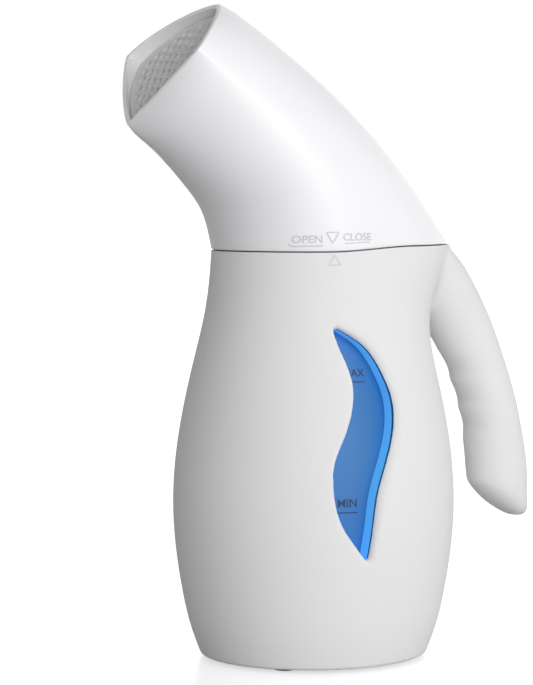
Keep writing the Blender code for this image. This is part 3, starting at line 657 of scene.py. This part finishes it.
def combine(piece: bpy.types.Object, other: bpy.types.Object, operation: str) -> bpy.types.Object:
    """Applies a Boolean with another closed body and removes that body.

    Args:
        piece: the body that is changed.
        other: the body that it meets.
        operation: UNION, DIFFERENCE or INTERSECT.

    Returns:
        The changed body.
    """
    apply(piece, "BOOLEAN", operation=operation, solver="MANIFOLD", object=other)
    bpy.data.objects.remove(other)
    return piece


def cut(piece: bpy.types.Object, *others: bpy.types.Object) -> bpy.types.Object:
    """Takes other bodies away from a body and returns it."""
    for other in others:
        combine(piece, other, "DIFFERENCE")
    return piece


def lathe(name: str, profile: Sequence[tuple[float, float]], steps: int = 64) -> bpy.types.Object:
    """Spins a section about the upright axis through the origin, in millimetres turned to metres.

    Args:
        name: the object's name.
        profile: (radius, height) points from the lower middle to the upper middle, or round a closed ring.
        steps: segments round the turn.

    Returns:
        The turned body, standing on the origin.
    """
    is_ring = min(radius for radius, _ in profile) > 0
    mesh = bpy.data.meshes.new(name)
    count = len(profile)
    edges = [(i, (i + 1) % count) for i in range(count if is_ring else count - 1)]
    mesh.from_pydata([(r * MM, 0.0, z * MM) for r, z in profile], edges, [])
    made = bpy.data.objects.new(name, mesh)
    bpy.context.collection.objects.link(made)
    only(made)
    bpy.ops.object.mode_set(mode="EDIT")
    bpy.ops.mesh.select_all(action="SELECT")
    bpy.ops.mesh.spin(steps=steps, angle=2 * math.pi, center=(0, 0, 0), axis=(0, 0, 1))
    bpy.ops.mesh.select_all(action="SELECT")
    bpy.ops.mesh.remove_doubles(threshold=1e-6)
    bpy.ops.mesh.normals_make_consistent(inside=False)
    bpy.ops.object.mode_set(mode="OBJECT")
    face_out(made)
    return made


def stand(piece: bpy.types.Object, place: Sequence[float], direction: Sequence[float]) -> bpy.types.Object:
    """Puts a piece that was made on the upright axis to its place, turned to a direction.

    Args:
        piece: the piece, in metres about the origin.
        place: millimetres about the body's axis.
        direction: where its upright axis points.

    Returns:
        The piece, with its place in its mesh.
    """
    turn = Vector((0, 0, 1)).rotation_difference(Vector(direction)).to_matrix().to_4x4()
    shift = Matrix.Translation(Vector(place) * MM + Vector((AXIS_X, 0, 0)))
    piece.data.transform(shift @ turn)
    return piece


def copy_of(piece: bpy.types.Object, name: str) -> bpy.types.Object:
    """Returns a copy of a piece with its own mesh."""
    made = piece.copy()
    made.data = piece.data.copy()
    made.name = made.data.name = name
    bpy.context.collection.objects.link(made)
    return made


def slab(name: str, low: Sequence[float], high: Sequence[float]) -> bpy.types.Object:
    """Returns an upright box between two corners in millimetres, as a cutter."""
    size = Vector(high) - Vector(low)
    middle = (Vector(high) + Vector(low)) / 2 * MM + Vector((AXIS_X, 0, 0))
    bpy.ops.object.select_all(action="DESELECT")
    bpy.ops.mesh.primitive_cube_add(size=1.0)
    made = bpy.context.object
    made.name = name
    made.data.transform(Matrix.Translation(middle) @ Matrix.Diagonal((*(size * MM), 1.0)))
    return made


def dress(piece: bpy.types.Object, finish: Finish, body: str, slot: str, *nodes: str,
          angle: float = 32.0) -> None:
    """Finishes a piece: its material, shading, body and the CAD nodes that it stands for.

    Args:
        piece: the piece.
        finish: its material.
        body: the CAD body that it moves with.
        slot: the record's material slot; not used.
        *nodes: the CAD nodes that it replaces.
        angle: edges sharper than this many degrees stay crisp.
    """
    if not piece.data.materials:
        piece.data.materials.append(finish.material())
    only(piece)
    bpy.ops.object.shade_smooth_by_angle(angle=math.radians(angle))
    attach(piece, body)
    if nodes:
        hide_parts(*nodes)
    log.info("%s: %d faces, on %s", piece.name, len(piece.data.polygons), body)


def lay_on(piece: bpy.types.Object, target: bpy.types.Object, lift: float) -> None:
    """Lays a flat raised mark on the near face of a target.

    Args:
        piece: the mark, drawn in x and z in the frame, with its thickness along y from 0 to 1.
        target: the surface that it lies on.
        lift: height of the mark above the surface, in millimetres.
    """
    for vertex in piece.data.vertices:
        start = Vector((vertex.co.x, -0.2, vertex.co.z))
        is_hit, place, normal, _ = target.ray_cast(start, Vector((0, 1, 0)))
        if is_hit:
            vertex.co = place + normal * ((lift + SUNK) * vertex.co.y - SUNK) * MM


def text_mark(name: str, words: str, x: float, z: float, size: float) -> bpy.types.Object:
    """Draws raised functional lettering.

    Args:
        name: the object's name.
        words: the functional word.
        x: middle of the word, in millimetres.
        z: middle height of the word.
        size: font size in millimetres.

    Returns:
        The mark, drawn in x and z, with its thickness along y from 0 to 1.
    """
    bpy.ops.object.select_all(action="DESELECT")
    bpy.ops.object.text_add()
    made = bpy.context.object
    made.data.body = words
    made.data.align_x = "CENTER"
    made.data.align_y = "CENTER"
    made.data.size = size * MM
    made.data.extrude = 0.5 * MM
    made.data.offset = 0.06 * MM
    made.data.resolution_u = 3
    bpy.ops.object.convert(target="MESH")
    made = bpy.context.object
    made.name = name
    for vertex in made.data.vertices:
        across, up, raised = vertex.co
        vertex.co = (across + x * MM + AXIS_X, 1.0 if raised > 0 else 0.0, up + z * MM)
    return made


def line_mark(name: str, loop: Sequence[tuple[float, float]], width: float) -> bpy.types.Object:
    """Draws a raised line along a path.

    Args:
        name: the object's name.
        loop: (x, z) points of the path, in millimetres; a closed path repeats its first point.
        width: of the line.

    Returns:
        The mark, drawn in x and z, with its thickness along y from 0 to 1.
    """
    path = [Vector(point) for point in loop]
    is_closed = (path[0] - path[-1]).length < 0.01
    if is_closed:
        path = path[:-1]
    fine = []
    for i in range(len(path) if is_closed else len(path) - 1):
        start, end = path[i], path[(i + 1) % len(path)]
        pieces = max(int((end - start).length / 1.0), 1)
        fine += [start.lerp(end, k / pieces) for k in range(pieces)]
    if not is_closed:
        fine.append(path[-1])
    count = len(fine)
    rings = []
    for i, point in enumerate(fine):
        before = fine[i - 1] if is_closed or i else point
        after = fine[(i + 1) % count] if is_closed or i < count - 1 else point
        along = (after - before).normalized()
        side = Vector((-along.y, along.x)) * width / 2
        corners = ((point + side, 1000.0), (point - side, 1000.0), (point - side, 0.0), (point + side, 0.0))
        rings.append([(p.x, y, p.y) for p, y in corners])
    return loft(name, rings, closed=is_closed)


# ---------------------------------------------------------------- body
@dataclass
class BodyShells:
    """The two moulded halves of the kettle body with its handle."""

    voxel: float = 0.85  # spacing of the smooth skin's points
    parting: float = 0.06  # half of the gap between the halves
    button_bore: float = 4.9
    gland_bore: float = 4.5
    screw_shares: tuple[float, ...] = (0.36, 0.66, 0.94)

    def window_cutter(self) -> bpy.types.Object:
        """Makes the window's cutter: an S that rolls in from the skin, broad on the right side."""
        steps = ((1.00, -6.0), (1.00, -0.1), (0.84, 0.1), (0.62, 0.4), (0.36, 0.95), (0.14, 1.6), (0.0, 2.4))
        rings = []
        for share, down in steps:
            loop = WINDOW.outline(60, WINDOW.lip_left * share, WINDOW.lip_right * share)
            rings.append([(x, BODY.near_y(x, z) + down, z) for x, z in loop])
        loop = WINDOW.outline(60, 0.0, 0.0)
        rings.append([(x, BODY.near_y(x, z) + 14.0, z) for x, z in loop])
        return loft("window_cutter", rings)

    def root_weights(self, piece: bpy.types.Object) -> None:
        """Marks the crease where the handle leaves the body, for the soft fillet."""
        count = len(piece.data.vertices)
        places = np.empty(count * 3)
        piece.data.vertices.foreach_get("co", places)
        places = (places.reshape(-1, 3) - (AXIS_X, 0, 0)) / MM
        front, rear, side = BODY.axes(places[:, 2])
        length = np.where(places[:, 0] > 0, rear, front)
        from_body = (np.hypot(places[:, 0] / length, places[:, 1] / side) - 1) * side
        from_handle = HANDLE.distance(BODY, places)
        weight = np.clip(1.5 - np.maximum(np.abs(from_body), np.abs(from_handle)) / 6.0, 0.0, 1.0)
        weight *= (places[:, 2] > 90) & (places[:, 0] > 15)
        group = piece.vertex_groups.new(name="root")
        for i in np.nonzero(weight > 0.01)[0]:
            group.add([int(i)], float(weight[i]), "REPLACE")

    def skin(self) -> bpy.types.Object:
        """Makes body and handle as one smooth solid, with the rolled window opening."""
        levels = np.linspace(BODY.table_gap, BODY.seam_z + 6.0, 110)
        whole = loft("body_skin", [BODY.ring(z, 0.0, 200) for z in levels])
        handle = loft("handle_skin", HANDLE.rings(BODY, 0.0, 96, 120))
        combine(whole, handle, "UNION")
        cut(whole, self.window_cutter())
        voxel = self.voxel * 1
        apply(whole, "REMESH", mode="VOXEL", voxel_size=voxel * MM)
        apply(whole, "SMOOTH", factor=0.5, iterations=6)
        self.root_weights(whole)
        apply(whole, "SMOOTH", factor=0.5, iterations=50, vertex_group="root")
        whole.vertex_groups.clear()
        return whole

    def hollow(self) -> bpy.types.Object:
        """Makes the space inside the walls."""
        levels = np.linspace(BODY.table_gap - 2.0, BODY.seam_z + 12.0, 40)
        inner = loft("hollow", [BODY.ring(z, BODY.wall, 96) for z in levels])
        return combine(inner, loft("handle_hollow", HANDLE.rings(BODY, BODY.wall, 40, 50)), "UNION")

    def over_seam(self) -> bpy.types.Object:
        """Makes the block that ends the body just under the seam."""
        xs = np.linspace(-120.0, 160.0, 141)
        rings = []
        for x in xs:
            low = float(BODY.seam(x)) - 0.2
            rings.append([(x, -90, low), (x, 90, low), (x, 90, low + 90), (x, -90, low + 90)])
        return loft("over_seam", rings)

    def button_axis(self) -> tuple[Vector, Vector]:
        """Gives the button's place on the skin, in millimetres, and the direction that it points."""
        direction = -Vector(JOINTS["button_press"]["axis"])
        low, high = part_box("power_button")
        middle = (Vector(low) + Vector(high)) / 2
        place = (middle - Vector((AXIS_X, 0, 0))) / MM
        return place + direction * BUTTON_MIDDLE, direction

    def screw_places(self) -> list[tuple[float, float]]:
        """Returns the (x, z) places of the three screws along the handle."""
        x, z = columns(HANDLE.path)[:2]
        reach = HANDLE.reach(BODY)
        return [(float(reach * x(t)), float(BODY.seam_z * z(t))) for t in self.screw_shares]

    def build(self) -> None:
        """Builds, cuts and dresses both halves."""
        whole = self.skin()
        cut(whole, self.over_seam(), self.hollow())
        place, direction = self.button_axis()
        bore = lathe("bore", ((0, -14), (self.button_bore, -14), (self.button_bore, 8), (0, 8)))
        gland = lathe("bore", ((0, -12), (self.gland_bore, -12), (self.gland_bore, 12), (0, 12)))
        rear = float(BODY.axes(GLAND_Z)[1])
        cut(whole, stand(bore, place, direction), stand(gland, (rear, 0, GLAND_Z), (1, 0, 0)))
        other = copy_of(whole, "right_shell")
        whole.name = "left_shell"
        cut(whole, slab("far_half", (-200, -self.parting, -60), (200, 200, 400)))
        cut(other, slab("near_half", (-200, -200, -60), (200, self.parting, 400)))
        for x, z in self.screw_places():
            hole = lathe("hole", ((0, 6.8), (3.3, 6.8), (3.3, 30), (0, 30)), 40)
            cut(other, stand(hole, (x, 0, z), (0, 1, 0)))
        dress(whole, WHITE_ABS, "body", "shell_white", "left_body_shell")
        dress(other, WHITE_ABS, "body", "shell_white", "right_body_shell")
        self.mark(whole)

    def mark(self, shell: bpy.types.Object) -> None:
        """Raises the small triangle that shows where the head's mark has to stand."""
        corners = ((-12.9, 152.4), (-8.3, 152.4), (-10.6, 156.2), (-12.9, 152.4))
        mark = line_mark("body_arrow_mark", corners, 0.5)
        lay_on(mark, shell, LETTER_LIFT)
        face_out(mark)
        # The darker ABS copy is painted shade for the foot of the raised strokes.
        dress(mark, WHITE_ABS_PAINTED_SHADE, "body", "shell_white")


# ---------------------------------------------------------------- water tank
@dataclass
class WaterTank:
    """The blue tank with its S-shaped pocket behind the window, and its level marks."""

    gap: float = 0.8
    wall: float = 1.8
    floor_z: float = 26.0
    top_drop: float = 17.0
    wire_channel: float = 6.0
    cup_bore: float = 20.2

    def prism(self, name: str, grow: float, y_low: float, y_high: float) -> bpy.types.Object:
        """Returns the window's outline as a cutter along y."""
        loop = WINDOW.outline(70, grow, grow)
        return loft(name, [[(x, y, z) for x, z in loop] for y in (y_low, y_high)])

    def deep(self, inset: float, low: float, high: float, count: int, rear: float = 0.0) -> bpy.types.Object:
        """Returns the body's form drawn in by inset, between two heights."""
        return loft("deep", [BODY.ring(z, inset, count, rear) for z in np.linspace(low, high, 30)])

    def build(self) -> None:
        """Builds and dresses the tank and its marks."""
        inset = BODY.wall + self.gap
        top = BODY.seam_z - self.top_drop
        tank = self.deep(inset, self.floor_z, top, 120, self.wire_channel)
        tank.name = "tank"
        collar = self.prism("collar", self.wall, -90, -25)
        combine(collar, self.deep(inset + 0.3, self.floor_z, top, 160), "INTERSECT")
        combine(tank, collar, "UNION")
        hollow = self.deep(inset + self.wall, self.floor_z + self.wall, top + 4, 96, self.wire_channel)
        pocket_wall = self.prism("pocket_wall", self.wall, -90, -20)
        cut(pocket_wall, self.deep(WINDOW.depth + self.wall, self.floor_z - 2, top + 8, 96))
        cut(tank, cut(hollow, pocket_wall))
        pocket = self.prism("pocket", 0.0, -90, -20)
        cut(tank, cut(pocket, self.deep(WINDOW.depth, self.floor_z - 2, top + 8, 160)))
        mouth = lathe("mouth", ((0, -4), (self.cup_bore, -4), (self.cup_bore, 6), (0, 6)))
        cut(tank, stand(mouth, (0, 0, self.floor_z), (0, 0, 1)))
        # Painted light: the pocket's upright walls get the lighter, glowing blue.
        self.paint_wall_light(tank)
        dress(tank, BLUE_SAN, "body", "blue_clear", "water_tank", angle=25.0)
        self.mark(tank)

    def paint_wall_light(self, tank: bpy.types.Object) -> None:
        """Gives the pocket's upright side walls the lighter, glowing blue: painted light for walls lit
        edge-on.
        """
        tank.data.materials.clear()
        tank.data.materials.append(BLUE_SAN.material())
        tank.data.materials.append(BLUE_SAN_PAINTED_LIGHT.material())
        for face in tank.data.polygons:
            is_in_pocket = face.center.y < -25 * MM and 38 * MM < face.center.z < 134 * MM
            is_upright = abs(face.normal.y) < 0.05
            face.material_index = int(is_in_pocket and is_upright)

    def mark(self, tank: bpy.types.Object) -> None:
        """Prints the level marks on the pocket's deep face."""
        marks = [
            text_mark("level_low_text", "MIN", -8.4, 63.8, 4.4),
            text_mark("level_high_text", "MAX", -2.4, 111.8, 4.0),
            line_mark("level_low_line", ((-12.6, 60.4), (-4.4, 60.4)), 0.45),
            line_mark("level_high_line", ((-6.2, 108.6), (1.8, 108.6)), 0.4),
        ]
        for mark in marks:
            lay_on(mark, tank, INK_LIFT)
            face_out(mark)
            dress(mark, BLUE_INK, "body", "blue_clear")


# ---------------------------------------------------------------- head
@dataclass
class SteamHead:
    """The bent head that twists off: shell with its rolled rim, grille and lock marks."""

    grille_shares: tuple[float, float] = (0.87, 0.905)
    grille_gap: float = 0.4
    hole_pitch: float = 4.6
    hole_radius: float = 1.15

    def shell(self) -> bpy.types.Object:
        """Builds and dresses the shell."""
        count = 176
        lip = ((0.990, 0.0), (0.996, 0.10), (0.9993, 0.42), (1.0, 0.9), (1.0, 1.45), (0.999, 1.9),
               (0.993, 2.2))
        rings = [HEAD.ring(BODY, 0.0, 0.3, count), HEAD.ring(BODY, 0.003, 0.06, count)]
        rings += [HEAD.ring(BODY, share, 0.0, count) for share in np.linspace(0.008, 0.984, 84)]
        rings += [HEAD.ring(BODY, share, inset, count) for share, inset in lip]
        rings += [HEAD.ring(BODY, share, BODY.wall, count) for share in np.linspace(0.985, 0.0, 40)]
        made = loft("head_skin", rings, closed=True)
        dress(made, WHITE_ABS, "head", "shell_white", "head_shell")
        return made

    def inside(self, ring: np.ndarray, up: Vector, place: Vector) -> bool:
        """Says whether a place is well inside the grille's outline.

        Args:
            ring: the outline's points.
            up: the grille's own upward direction.
            place: the place.

        Returns:
            True with at least 3 mm to the outline.
        """
        flat = [(point[1] - place.y, (Vector(point) - place).dot(up)) for point in ring]
        if min(math.hypot(*point) for point in flat) < 3.0:
            return False
        crossings = 0
        for (x0, y0), (x1, y1) in zip(flat, flat[1:] + flat[:1]):
            if (y0 > 0) != (y1 > 0) and x0 + (x1 - x0) * (-y0) / (y1 - y0) > 0:
                crossings += 1
        return crossings % 2 == 1

    def grille(self) -> None:
        """Builds the grille: a plate with staggered rows of flared steam holes."""
        inset = BODY.wall + self.grille_gap
        low, high = self.grille_shares
        rings = [HEAD.ring(BODY, share, inset, 128) for share in np.linspace(low, high, 4)]
        plate = loft("steam_grille", rings)
        middle = HEAD.centre(BODY, high)
        axis = HEAD.axis(BODY, low)
        up = Vector((0, 1, 0)).cross(axis)
        up = up if up.z > 0 else -up
        radius = self.hole_radius
        profile = ((0, -16), (radius, -16), (radius, -0.4), (radius + 0.55, 0.5), (radius + 0.8, 14), (0, 14))
        hole = lathe("steam_hole", profile, 14)
        holes = []
        for row in range(-7, 8):
            for column in range(-7, 8):
                y = (column + 0.5 * (row % 2)) * self.hole_pitch
                place = middle + up * row * self.hole_pitch * 0.87 + Vector((0, y, 0))
                if self.inside(rings[-1], up, place):
                    lift = HEAD.mouth_bulge * 0.6 * (1 - (abs(y) / HEAD.mouth_half_width)) * -1
                    holes.append(stand(copy_of(hole, "steam_hole_copy"), place + axis * lift, axis))
        bpy.data.objects.remove(hole)
        only(*holes)
        bpy.ops.object.join()
        cut(plate, bpy.context.object)
        dress(plate, GREY_NYLON, "head", "grey_plastic", "nozzle_plate")

    def marks(self, shell: bpy.types.Object) -> None:
        """Raises the lock marks: a triangle between the two turning directions, each with its arrow."""
        triangle = ((-13.8, 164.6), (-9.0, 164.6), (-11.4, 160.6), (-13.8, 164.6))
        drawn = [
            text_mark("open_text", "OPEN", -20.2, 161.9, 4.0),
            text_mark("close_text", "CLOSE", -1.6, 162.7, 4.0),
            line_mark("head_arrow_mark", triangle, 0.5),
            line_mark("open_arrow", ((-14.8, 159.6), (-25.0, 159.4), (-26.2, 160.1)), 0.42),
            line_mark("close_arrow", ((-6.6, 160.4), (2.6, 160.9), (3.6, 160.5)), 0.42),
        ]
        for mark in drawn:
            lay_on(mark, shell, LETTER_LIFT)
            face_out(mark)
            # The darker ABS copy is painted shade for the foot of the raised strokes.
            dress(mark, WHITE_ABS_PAINTED_SHADE, "head", "shell_white")

    def build(self) -> None:
        """Builds the shell, the grille and the marks."""
        shell = self.shell()
        self.grille()
        self.marks(shell)


# ---------------------------------------------------------------- small pieces
@dataclass
class SmallParts:
    """Button, cord outlet, base cover, feet and screws."""

    foot_x: float = 0.454 * BODY.half_length
    foot_y: float = 0.463 * BODY.half_depth
    screw_x: float = 0.617 * BODY.half_length
    screw_y: float = 10.0
    base_low: float = 1.0
    base_high: float = 4.4

    def button(self, shells: BodyShells) -> None:
        """Builds the thumb button with its softly domed cap."""
        place, direction = shells.button_axis()
        profile = ((0, -6.2), (3.0, -6.2), (3.0, -5.4), (5.8, -5.4), (5.8, -4.4), (4.55, -4.3), (4.55, -0.4),
                   (4.4, 0.05), (4.0, 0.32), (3.2, 0.52), (2.0, 0.68), (0, 0.78))
        cap = stand(lathe("button_cap", profile, 72), place, direction)
        dress(cap, WHITE_ABS, "button", "shell_white", "power_button")

    def gland(self) -> None:
        """Builds the flush outlet ring for the cord."""
        profile = ((3.1, -8), (5.6, -8), (5.6, -5.4), (4.2, -5.4), (4.2, -0.7), (4.0, -0.45), (3.4, -0.45),
                   (3.1, -0.8))
        rear = float(BODY.axes(GLAND_Z)[1])
        ring = stand(lathe("cord_outlet", profile, 56), (rear, 0, GLAND_Z), (1, 0, 0))
        dress(ring, GREY_NYLON, "body", "grey_plastic", "cord_gland")

    def cover(self) -> None:
        """Builds the bottom cover with its recesses for feet and screws."""
        levels = ((self.base_low, 0.5), (self.base_low + 0.4, 0.1), (self.base_high, 0.0))
        rings = [BODY.ring(z, BODY.wall + 0.3 + inset, 128) for z, inset in levels]
        cover = loft("bottom_cover", rings)
        for x, y in self.corners(self.screw_x, self.screw_y):
            hole = lathe("hole", ((0, -1), (3.1, -1), (3.1, 2.0), (1.7, 2.0), (1.7, 9), (0, 9)), 32)
            cut(cover, stand(hole, (x, y, 1.0), (0, 0, 1)))
        for x, y in self.corners(self.foot_x, self.foot_y):
            hole = lathe("hole", ((0, -1), (4.8, -1), (4.8, 1.2), (0, 1.2)), 40)
            cut(cover, stand(hole, (x, y, self.base_low), (0, 0, 1)))
        dress(cover, WHITE_PP, "body", "plain_white", "base_cover")

    def corners(self, x: float, y: float) -> list[tuple[float, float]]:
        """Returns the four places at plus and minus x and y, in the order of the numbered nodes."""
        return [(sx * x, sy * y) for sx, sy in ((-1, -1), (-1, 1), (1, -1), (1, 1))]

    def feet(self) -> None:
        """Builds the four rubber feet, each a low pad with a dished sole."""
        profile = ((0, 0.25), (2.2, 0.22), (3.2, 0.0), (3.9, 0.0), (4.3, 0.2), (4.5, 0.6), (4.5, 1.9),
                   (0, 1.9))
        pad = lathe("foot_pad", profile, 48)
        for number, (x, y) in enumerate(self.corners(self.foot_x, self.foot_y), 1):
            foot = stand(copy_of(pad, f"rubber_foot_{number}"), (x, y, 0), (0, 0, 1))
            dress(foot, BLACK_RUBBER, "body", "black_rubber", f"foot_{number}")
        bpy.data.objects.remove(pad)

    def screw(self, name: str, shank: float, head_radius: float) -> bpy.types.Object:
        """Models one pan-head screw with a cross recess.

        Args:
            name: the object's name.
            shank: length under the head.
            head_radius: of the head.

        Returns:
            The screw, with its shank standing up from the origin and its head below it.
        """
        bpy.ops.object.select_all(action="DESELECT")
        bpy.ops.mesh.primitive_cylinder_add(vertices=40, radius=head_radius * MM, depth=1.4 * MM,
                                            location=(0, 0, -0.7 * MM))
        head = bpy.context.object
        bpy.ops.object.transform_apply(location=True)
        apply(head, "BEVEL", width=0.45 * MM, segments=3, limit_method="ANGLE")
        bpy.ops.object.select_all(action="DESELECT")
        bpy.ops.mesh.primitive_cylinder_add(vertices=24, radius=1.4 * MM, depth=(shank + 0.6) * MM,
                                            location=(0, 0, (shank / 2 - 0.3) * MM))
        rod = bpy.context.object
        bpy.ops.object.transform_apply(location=True)
        combine(head, rod, "UNION")
        for size in ((3.2, 0.7), (0.7, 3.2)):
            bpy.ops.object.select_all(action="DESELECT")
            bpy.ops.mesh.primitive_cube_add(size=1.0)
            arm = bpy.context.object
            arm.data.transform(Matrix.Translation((0, 0, -1.4 * MM)) @ Matrix.Diagonal(
                (size[0] * MM, size[1] * MM, 1.6 * MM, 1.0)))
            cut(head, arm)
        head.name = name
        return head

    def screws(self, shells: BodyShells) -> None:
        """Builds the base screws and the handle screws, each modelled once and copied."""
        low = self.base_low + 2.0 - 0.3
        model = self.screw("screw_model", 8.4, 2.8)
        for number, (x, y) in enumerate(self.corners(self.screw_x, self.screw_y), 1):
            made = stand(copy_of(model, f"cover_screw_{number}"), (x, y, low), (0, 0, 1))
            dress(made, ZINC_STEEL, "body", "steel", f"base_screw_{number}")
        bpy.data.objects.remove(model)
        model = self.screw("screw_model", 13.9, 3.0)
        for number, (x, z) in enumerate(shells.screw_places(), 1):
            made = stand(copy_of(model, f"grip_screw_{number}"), (x, 7.2, z), (0, -1, 0))
            dress(made, ZINC_STEEL, "body", "steel", f"handle_screw_{number}")
        bpy.data.objects.remove(model)

    def build(self, shells: BodyShells) -> None:
        """Builds every small piece."""
        self.button(shells)
        self.gland()
        self.cover()
        self.feet()
        self.screws(shells)


def dress_cad_nodes() -> None:
    """Gives each CAD node that stays its own finish."""
    for finish, names in CAD_FINISHES.items():
        for name in names:
            node = frame["nodes"][name]
            node.data.materials.clear()
            node.data.materials.append(finish.material())


# ---------------------------------------------------------------- studio
@dataclass
class Studio:
    """The pale floor, the soft lights and the camera."""

    camera_place: tuple[float, float, float] = (-469.5, -882.9, 185.6)
    camera_aim: tuple[float, float, float] = (-16.16, 8.59, 121.2)
    lens_mm: float = 136.2
    floor_lift: float = 0.62
    sensor_mm: float = 36.0

    def floor(self) -> None:
        """Lays the wide pale floor: it lights the object as a grey floor does, and is seen as white."""
        bpy.ops.object.select_all(action="DESELECT")
        bpy.ops.mesh.primitive_plane_add(size=30.0)
        floor = bpy.context.object
        floor.name = "studio_floor"
        floor.data.materials.append(STUDIO_WHITE.material())
        tree = STUDIO_WHITE.material().node_tree
        shader = tree.nodes["Principled BSDF"]
        shader.inputs["Emission Color"].default_value = (1.0, 1.0, 1.0, 1.0)
        seen = add_node(tree, "ShaderNodeLightPath", {}, {}).outputs["Is Camera Ray"]
        lift = add_node(tree, "ShaderNodeMath", {"operation": "MULTIPLY", 1: self.floor_lift}, {0: seen})
        tree.links.new(lift.outputs[0], shader.inputs["Emission Strength"])

    def soft_light(self, name: str, place: Sequence[float], size: float, power: float) -> None:
        """Hangs a square soft light that points at the middle of the object.

        Args:
            name: the light's name.
            place: metres in the frame.
            size: side in metres.
            power: watts.
        """
        data = bpy.data.lights.new(name, "AREA")
        data.shape = "SQUARE"
        data.size = size
        data.energy = power
        light = bpy.data.objects.new(name, data)
        light.location = place
        aim = Vector((0.0, 0.0, 0.13)) - Vector(place)
        light.rotation_euler = aim.to_track_quat("-Z", "Y").to_euler()
        bpy.context.collection.objects.link(light)

    def world(self) -> None:
        """Sets a white backdrop, brightest to the right and behind, and dimmer toward the ceiling."""
        world = bpy.data.worlds.new("studio_world")
        bpy.context.scene.world = world
        world.use_nodes = True
        tree = world.node_tree
        tree.nodes.clear()
        toward = add_node(tree, "ShaderNodeTexCoord", {}, {}).outputs["Generated"]
        parts = add_node(tree, "ShaderNodeSeparateXYZ", {}, {"Vector": toward})
        spans = {"X": (-0.7, 0.9, 0.48, 1.40), "Y": (0.3, 1.0, 0.0, 0.5), "Z": (0.1, 0.8, 1.0, 0.2)}
        ends = ("From Min", "From Max", "To Min", "To Max")
        ramps = [add_node(tree, "ShaderNodeMapRange", dict(zip(ends, span)), {"Value": parts.outputs[axis]})
                 for axis, span in spans.items()]
        right, behind, shade = (ramp.outputs[0] for ramp in ramps)
        both = add_node(tree, "ShaderNodeMath", {"operation": "ADD"}, {0: right, 1: behind}).outputs[0]
        dimmed = add_node(tree, "ShaderNodeMath", {"operation": "MULTIPLY"}, {0: both, 1: shade})
        pure = {"Color": (1, 1, 1, 1)}
        glow = add_node(tree, "ShaderNodeBackground", pure, {"Strength": dimmed.outputs[0]})
        white = add_node(tree, "ShaderNodeBackground", {**pure, "Strength": 1.0}, {})
        path = add_node(tree, "ShaderNodeLightPath", {}, {})
        mix = add_node(tree, "ShaderNodeMixShader", {}, {0: path.outputs["Is Camera Ray"], 1: glow.outputs[0],
                                                         2: white.outputs[0]})
        add_node(tree, "ShaderNodeOutputWorld", {}, {"Surface": mix.outputs[0]})

    def camera(self) -> None:
        """Places the camera and makes it the scene's own."""
        data = bpy.data.cameras.new("studio_camera")
        data.sensor_fit = "VERTICAL"
        data.sensor_height = self.sensor_mm
        data.lens = self.lens_mm
        camera = bpy.data.objects.new("studio_camera", data)
        shift = Vector((AXIS_X, 0, 0))
        camera.location = Vector(self.camera_place) * MM + shift
        aim = Vector(self.camera_aim) * MM + shift - camera.location
        camera.rotation_euler = aim.to_track_quat("-Z", "Y").to_euler()
        bpy.context.collection.objects.link(camera)
        bpy.context.scene.camera = camera

    def build(self) -> None:
        """Sets up the whole studio."""
        self.camera()
        self.floor()
        self.world()
        self.soft_light("key_light", (-0.15, -1.45, 0.15), 1.6, 26.0)
        self.soft_light("top_light", (0.2, 0.2, 1.5), 1.2, 0.5)
        bpy.context.scene.view_settings.view_transform = "Standard"


def main() -> None:
    """Builds the studio and the steamer in order."""
    logging.basicConfig(level=logging.INFO, format="%(name)s: %(message)s")
    Studio().build()
    dress_cad_nodes()
    shells = BodyShells()
    shells.build()
    WaterTank().build()
    SteamHead().build()
    SmallParts().build(shells)


if __name__ == "__main__":
    main()
